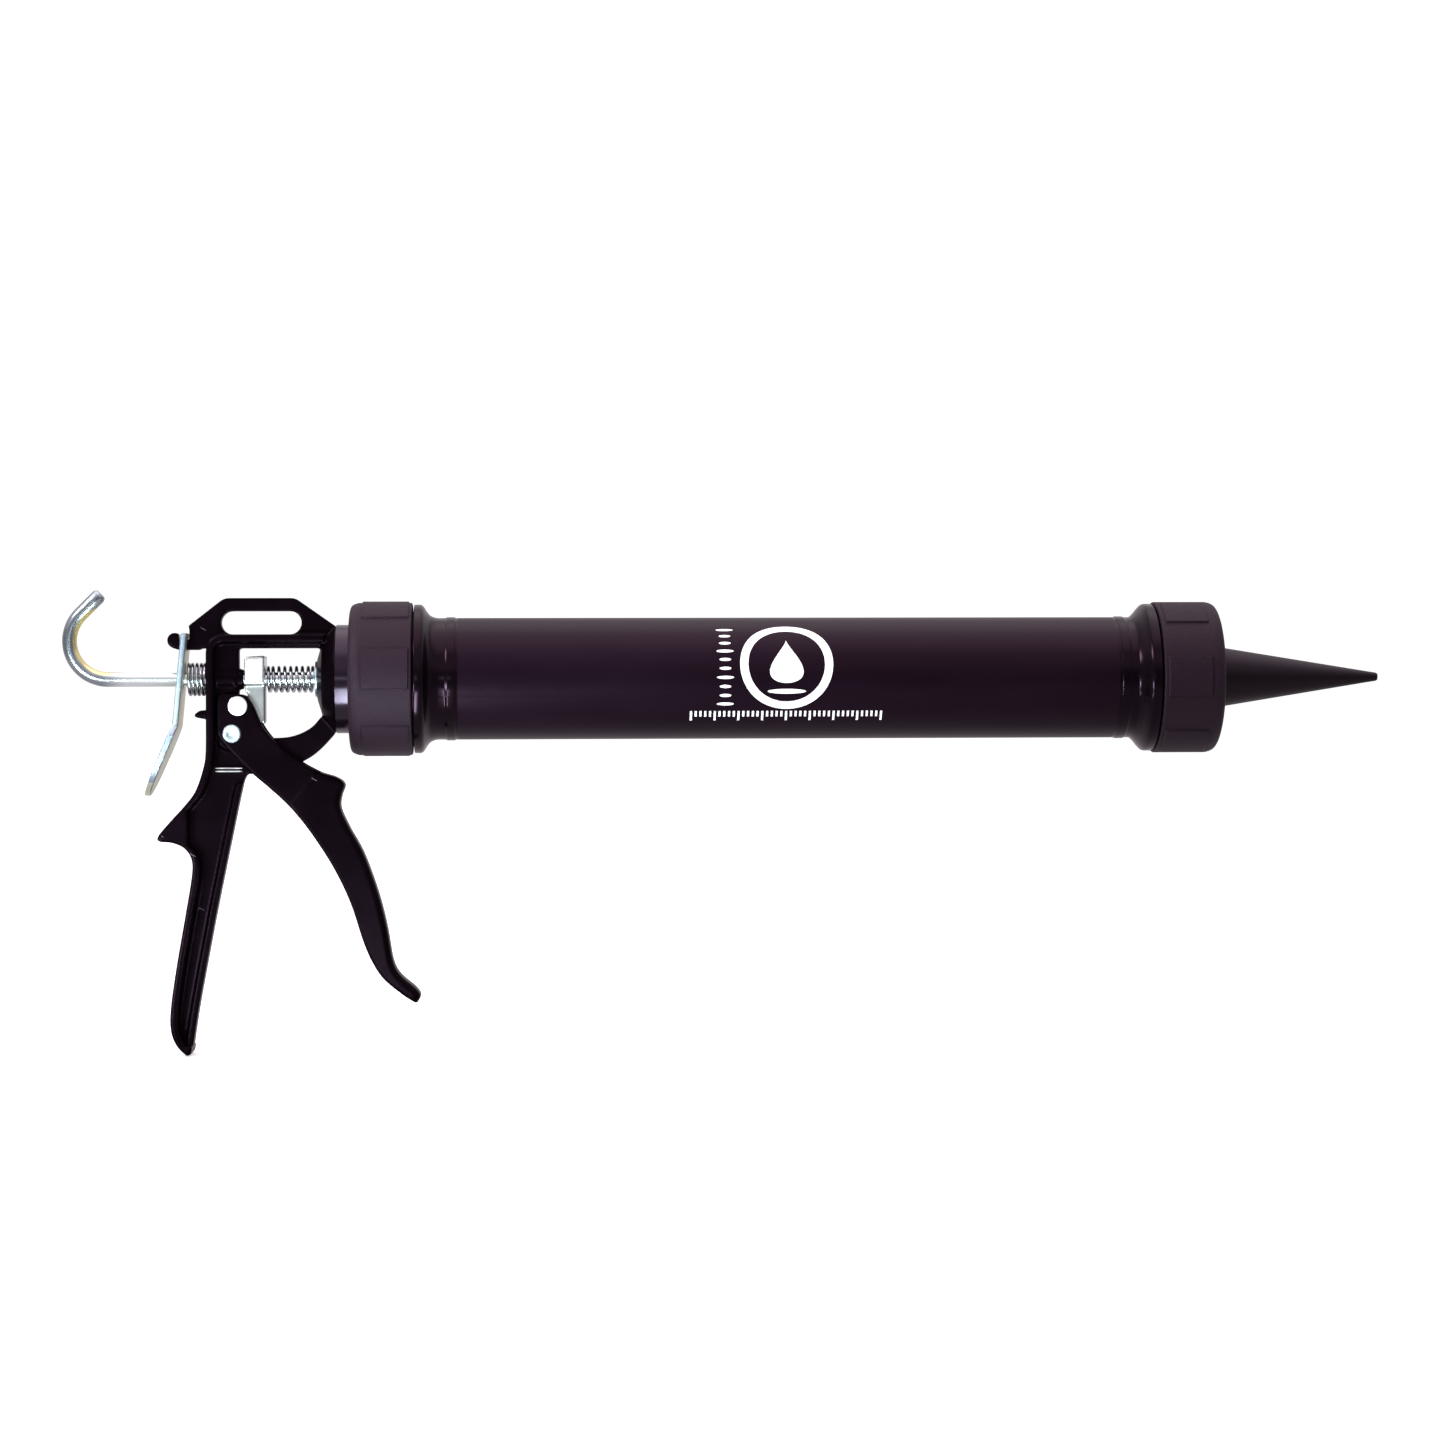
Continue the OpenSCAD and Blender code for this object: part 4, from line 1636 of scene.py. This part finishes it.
@dataclass
class Barrel:
    """Barrel tube with collars, threaded ends and screen print, its neck and its ring nut."""

    bore: float = 25.0
    tube: float = 27.0
    collar: float = 33.0
    spigot: float = 29.3
    cap: float = 33.8
    nut_bore: float = 29.9
    neck: float = 24.05
    seam_angle: float = -17.3
    seam_rise: float = 0.06
    thread_pitch: float = 6.0
    thread_radius: float = 0.34
    emblem_centre: tuple[float, float] = (198.0, 6.0)
    emblem_radius: float = 20.5
    emblem_line: float = 3.6
    scale_start: float = 156.0
    scale_angle: float = -33.0
    scale_pitch: float = 2.1
    film: float = 0.10
    pad_turn: float = 7.0
    gloss_rear: float = 19.3
    gloss_front: float = 18.1
    # Each step is a distance from the nut or cap, a rise above the tube and a fillet.
    rear_steps: Steps = (
        (0.2, 6.0, 0.6), (3.4, 6.0, 0.7), (4.5, 5.0, 0.7), (5.8, 2.8, 1.0),
        (7.3, 1.0, 1.0), (9.1, 0.3, 1.2), (10.4, 0.0, 0.8), (14.0, 0.0, 0.5),
        (14.8, 0.4, 0.4), (18.0, 0.4, 0.4), (18.6, 0.0, 0.3),
    )
    front_steps: Steps = (
        (-17.2, 0.0, 0.3), (-16.6, 0.4, 0.4), (-13.4, 0.4, 0.4), (-12.6, 0.0, 0.5),
        (-10.2, 0.0, 0.8), (-9.3, 0.4, 0.9), (-7.6, 2.0, 1.1), (-5.7, 4.4, 1.0),
        (-4.4, 5.7, 0.7), (-3.4, 6.0, 0.6), (-0.2, 6.0, 0.6),
    )

    def build(self) -> None:
        """Builds the barrel and what holds it to the handle."""
        self._tube()
        self._threads()
        self._print()
        self._ring_nut()
        dress_node("end_plate", NECK_GLOSS)
        dress_node("plate_screws", SMALL_ZINC)

    def _finish(self) -> DrawnTube:
        """The tube's finish, glossy on the moulded ends.

        Returns:
            The finish.
        """
        rear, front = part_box("ring_nut")[1].x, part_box("front_cap")[0].x
        rear, front = rear + self.gloss_rear * MM, front - self.gloss_front * MM
        return DrawnTube("plastic_barrel", rear=rear, front=front)

    def _tube(self) -> None:
        """Makes the tube with its collars, bands and mould seam."""
        start, end = ends_of("barrel")
        rear, front = ends_of("ring_nut")[1] + 0.3, ends_of("front_cap")[0] - 0.3
        wall, spigot = self.tube, self.spigot
        corners = [
            Corner(start, self.bore, 0.3),
            Corner(start, spigot - 0.5, 0.3),
            Corner(start + 0.8, spigot, 0.3),
            Corner(rear + 0.2, spigot, 0.1),
            *(Corner(rear + x, wall + rise, fillet) for x, rise, fillet in self.rear_steps),
            *(Corner(front + x, wall + rise, fillet) for x, rise, fillet in self.front_steps),
            Corner(front - 0.2, spigot, 0.1),
            Corner(end - 0.8, spigot, 0.3),
            Corner(end, spigot - 0.5, 0.3),
            Corner(end, self.bore, 0.3),
        ]
        seams = (self.seam_angle, self.seam_angle + 180)
        part = Part("barrel", "barrel", "barrel_plastic", self._finish())
        Lathe(angles=angles_with(160, *seams)).turn(part, "moulded", corners, self._seam)

    def _seam(self, angle: float, along: float, radius: float) -> float:
        """How far the mould's parting line stands out.

        Args:
            angle: Round the axis, in degrees.
            along: Along the axis, in mm.
            radius: From the axis, in mm.

        Returns:
            The rise in mm.
        """
        off = abs((angle - self.seam_angle + 90) % 180 - 90)
        outer = self.bore + 1 < radius < self.collar - 0.2
        return self.seam_rise * (1 - smooth_step(off, 0.0, 0.7)) if outer else 0.0

    def _threads(self) -> None:
        """Winds the thread ribs on both ends."""
        start, end = ends_of("barrel")
        rear, front = ends_of("ring_nut")[1], ends_of("front_cap")[0]
        r = self.spigot + 0.08
        sweep = Sweep()
        runs = (("rear", start + 1.2, rear - 1.5), ("front", front + 1.5, end - 1.2))
        for name, low, high in runs:
            turns = (high - low) / self.thread_pitch
            steps = round(turns * 72)
            points, girths = [], []
            for k in range(steps + 1):
                t = k / steps
                a = 2 * math.pi * turns * t
                points.append(at(low + (high - low) * t, r * math.cos(a), r * math.sin(a)))
                girths.append(0.25 + 0.75 * min(1.0, 12 * t, 12 * (1 - t)))
            rib = sweep.grow(
                Sweep.path(points, girths),
                f"barrel_thread_{name}",
                self._finish(),
                Radius=self.thread_radius * MM,
                Sides=10,
            )
            hand_over(rib, "barrel", "barrel_plastic")

    def _print(self) -> None:
        """Prints a plain drop emblem and a graduated scale on the tube."""
        start = (at(self.scale_start, 0, 0).x, math.radians(self.scale_angle) * self.tube * MM, 0.0)
        film = Scale().grow(
            self._artwork(),
            "barrel_print",
            INK,
            Tube_Radius=(self.tube - 0.02) * MM,
            Film=self.film * MM,
            Ticks=41,
            Pitch=self.scale_pitch * MM,
            Start=start,
            Tick_Width=0.95 * MM,
            Tick_Length=3.0 * MM,
            Major_Length=5.2 * MM,
        )
        hand_over(film, "barrel", "barrel_plastic")

    def _artwork(self) -> bpy.types.Mesh:
        """Draws a ring, a sealant drop inside it, the bead that it leaves, and a column of dashes.

        Returns:
            The flat mesh.
        """
        art = Artwork(self.emblem_centre)
        turn = [2 * math.pi * k / 96 for k in range(96)]
        inner, outer = (
            [(q * math.cos(a), q * math.sin(a)) for a in turn]
            for q in (self.emblem_radius - self.emblem_line, self.emblem_radius)
        )
        art.strip(inner, outer, 3)
        drop = [
            (7.4 * math.cos(a) * (1 - math.sin(a)) / 1.3, 10.0 * math.sin(a) + 1.5) for a in turn
        ]
        art.strip([(0.02 * u, -3.0 + 0.02 * v) for u, v in drop], drop, 8)
        bead = (0.0, -12.2, 8.5, 1.1)
        dashes = [(-27.0, 18.0 - 4.0 * k, 2.6 if k % 3 else 3.8, 0.7) for k in range(10)]
        for u, v, half, thick in (bead, *dashes):
            edge = [(u + half * math.cos(a), v + thick * math.sin(a)) for a in turn[::4]]
            middle = [(u + 0.8 * (x - u), v + 0.05 * (y - v)) for x, y in edge]
            art.strip(middle, edge, 2)
        return art.mesh()

    def _ring_nut(self) -> None:
        """Makes the ring nut that draws the barrel against the neck."""
        start, end = ends_of("ring_nut")
        pads = GripPads(start + 5.6, end - 1.4, self.pad_turn, self.cap - 1.0)
        corners = [
            Corner(start, self.neck + 0.3),
            Corner(start, 29.8, 1.2),
            Corner(start + 0.8, 32.6, 1.4),
            Corner(start + 3.8, self.cap, 1.6),
            *pads.rows(self.cap),
            Corner(end - 0.7, self.cap, 0.3),
            Corner(end - 0.2, self.cap - 0.6, 0.3),
            Corner(end - 0.2, self.nut_bore),
            Corner(start + 3.0, self.nut_bore),
            Corner(start + 3.0, self.neck + 0.3),
        ]
        part = Part("ring_nut", "nut", "textured_plastic", CAP_PLASTIC)
        Lathe(angles=angles_with(120, *pads.places())).turn(part, "moulded", corners, pads.swell)


@dataclass
class Nose:
    """Front cap that holds the nozzle on the barrel, the tapered nozzle and its gasket."""

    cap: float = 33.8
    nut_bore: float = 29.9
    hole: float = 14.4
    wall: float = 3.6
    root: float = 13.9
    tip: float = 1.9
    outlet: float = 1.2

    def build(self) -> None:
        """Builds the nose."""
        self._front_cap()
        self._nozzle()
        dress_node("nozzle_gasket", SEAL_RUBBER)

    def _front_cap(self) -> None:
        """Makes the cap, with its rounded shoulder and grip pads."""
        start, end = ends_of("front_cap")
        pads = GripPads(start + 2.0, end - 6.4, 0.0, self.cap - 1.0)
        corners = [
            Corner(start + 0.2, self.nut_bore),
            Corner(start + 0.2, self.cap - 0.6, 0.3),
            Corner(start + 0.7, self.cap, 0.3),
            *pads.rows(self.cap),
            Corner(end - 3.8, self.cap, 1.8),
            Corner(end - 1.2, self.cap - 0.9, 1.5),
            Corner(end, self.cap - 2.6, 1.0),
            Corner(end, self.hole, 0.4),
            Corner(end - self.wall, self.hole, 0.3),
            Corner(end - self.wall, self.nut_bore),
        ]
        part = Part("front_cap", "cap", "textured_plastic", CAP_PLASTIC)
        Lathe(angles=angles_with(120, *pads.places())).turn(part, "moulded", corners, pads.swell)

    def _nozzle(self) -> None:
        """Makes the cone with its flange, hollow inside and rounded at the tip."""
        start, end = ends_of("cone_nozzle")
        shoulder = ends_of("front_cap")[1]
        flange = self.nut_bore - 0.8
        corners = [
            Corner(start, self.root - 1.6),
            Corner(start, flange),
            Corner(start + 2.0, flange),
            Corner(start + 2.0, self.root, 0.5),
            Corner(shoulder, self.root, 1.5),
            Corner(end - 4.0, self.tip + 0.5, 1.5),
            Corner(end - 0.7, self.tip, 0.4),
            Corner(end, self.tip - 0.4, 0.3),
            Corner(end, self.outlet, 0.1),
            Corner(end - 6.0, self.outlet, 0.3),
        ]
        part = Part("cone_nozzle", "nozzle", "nozzle_plastic", NOZZLE_PLASTIC)
        Lathe(angles=even_angles(120)).turn(part, "moulded", corners, steps=5)


# ---------------------------------------------------------------- studio


@dataclass(frozen=True)
class Softbox:
    """A soft rectangular light, placed and aimed in the frame's metres."""

    name: str
    place: tuple[float, float, float]
    target: tuple[float, float, float]
    size: tuple[float, float]
    power: float
    colour: Colour = WHITE

    def hang(self) -> None:
        """Puts the light in the scene, facing its target."""
        lamp = bpy.data.lights.new(self.name, "AREA")
        lamp.shape = "RECTANGLE"
        lamp.size, lamp.size_y = self.size
        lamp.energy = self.power
        lamp.color = self.colour
        holder = bpy.data.objects.new(self.name, lamp)
        holder.location = self.place
        way = Vector(self.target) - Vector(self.place)
        holder.rotation_euler = way.to_track_quat("-Z", "Y").to_euler()
        holder.visible_camera = False
        bpy.context.scene.collection.objects.link(holder)


@dataclass
class Studio:
    """White studio: floor, surrounding light, softboxes and the camera."""

    distance: float = 1.6
    yaw: float = 3.47
    roll: float = -0.18
    lens: float = 88.98
    aim_back: float = 0.9
    aim_drop: float = 20.9
    floor_size: float = 30.0
    floor_gap: float = 0.2
    sky: float = 2.3
    front: float = 0.85
    below: float = 0.60
    cast: Colour = (1.0, 0.90, 0.955)
    ahead: float = 0.22
    back: float = 0.66
    sides: float = 0.40
    softboxes: tuple[Softbox, ...] = (
        Softbox(
            name="kicker",
            place=(-0.462, -0.27, -0.155),
            target=(-0.462, -0.27, 0.0),
            size=(0.035, 0.28),
            power=1.1,
            colour=(0.82, 1.0, 1.0),
        ),
        Softbox(
            name="low_left",
            place=(-0.74, -0.42, -0.13),
            target=(-0.30, 0.0, 0.0),
            size=(0.22, 0.08),
            power=2.4,
            colour=(0.80, 0.98, 1.0),
        ),
        Softbox(
            name="high_left",
            place=(-0.95, -0.30, 0.45),
            target=(-0.30, 0.0, 0.0),
            size=(0.30, 0.20),
            power=3.0,
            colour=(1.0, 0.94, 0.96),
        ),
        Softbox(
            name="front_strip",
            place=(-0.550, -1.0, 0.010),
            target=(-0.50, 0.0, 0.0),
            size=(0.22, 0.085),
            power=0.16,
        ),
    )

    def build(self) -> None:
        """Sets up the studio."""
        low, high = CAD_BOX
        aim = Vector(((low.x + high.x) / 2 - self.aim_back * MM, 0.0, -self.aim_drop * MM))
        self._floor(low.z)
        self._surround()
        for softbox in self.softboxes:
            softbox.hang()
        self._camera(aim)

    def _floor(self, height: float) -> None:
        """Lays the floor that the gun stands on.

        Args:
            height: The lowest point of the gun, in metres.
        """
        half = self.floor_size / 2
        mesh = bpy.data.meshes.new("floor")
        flat = height - self.floor_gap * MM
        signs = ((-1, -1), (1, -1), (1, 1), (-1, 1))
        mesh.from_pydata([(u * half, v * half, flat) for u, v in signs], [], [(0, 1, 2, 3)])
        dress(mesh, PaleFloor("floor_pale"))
        floor = add_piece(mesh, "floor")
        floor.visible_glossy = floor.visible_diffuse = floor.visible_shadow = False

    def _surround(self) -> None:
        """Lights the scene from above and behind, and leaves it dim behind the camera."""
        world = bpy.data.worlds.new("surround")
        bpy.context.scene.world = world
        world.use_nodes = True
        board = Board(world.node_tree)
        board.tree.nodes.clear()
        way = board.node("ShaderNodeTexCoord").outputs["Generated"]
        aside, away, up = board.split(way)
        level = self.ahead + abs(up).band(0.12, 0.42) * (self.front - self.ahead)
        level = level + up.band(0.68, 0.95) * (self.sky - self.front)
        level = level - (0 - up).band(0.12, 0.45) * (self.front - self.below)
        level = level.most(away.band(-0.1, 0.5) * self.back)
        level = level.most(abs(aside).band(0.35, 0.72) * self.sides)
        seen = Shade(board, board.node("ShaderNodeLightPath").outputs["Is Camera Ray"])
        level = level * (1 - seen) + seen * 1.05
        colour = board.mix(seen, self.cast, WHITE)
        light = board.node("ShaderNodeBackground", {"Color": colour, "Strength": level})
        board.node("ShaderNodeOutputWorld", {"Surface": light.outputs[0]})

    def _camera(self, aim: Vector) -> None:
        """Places the camera.

        Args:
            aim: The point in the middle of the picture.
        """
        yaw = math.radians(self.yaw)
        upright = Euler((math.pi / 2, 0.0, -yaw)).to_matrix()
        turned = upright @ Matrix.Rotation(math.radians(self.roll), 3, "Z")
        data = bpy.data.cameras.new("camera")
        data.lens = self.lens
        data.sensor_width = 36.0
        camera = bpy.data.objects.new("camera", data)
        camera.location = aim - Vector((math.sin(yaw), math.cos(yaw), 0.0)) * self.distance
        camera.rotation_euler = turned.to_euler()
        bpy.context.scene.collection.objects.link(camera)
        bpy.context.scene.camera = camera


def main() -> None:
    """Builds the sub-assemblies in order, then the studio."""
    logging.basicConfig(level=logging.INFO, format="%(name)s: %(message)s")
    bpy.context.scene.view_settings.view_transform = "Standard"
    for part in (Handle(), Trigger(), Drive(), Plunger(), Barrel(), Nose(), Studio()):
        LOG.info("building %s", type(part).__name__)
        part.build()


if __name__ == "__main__":
    main()
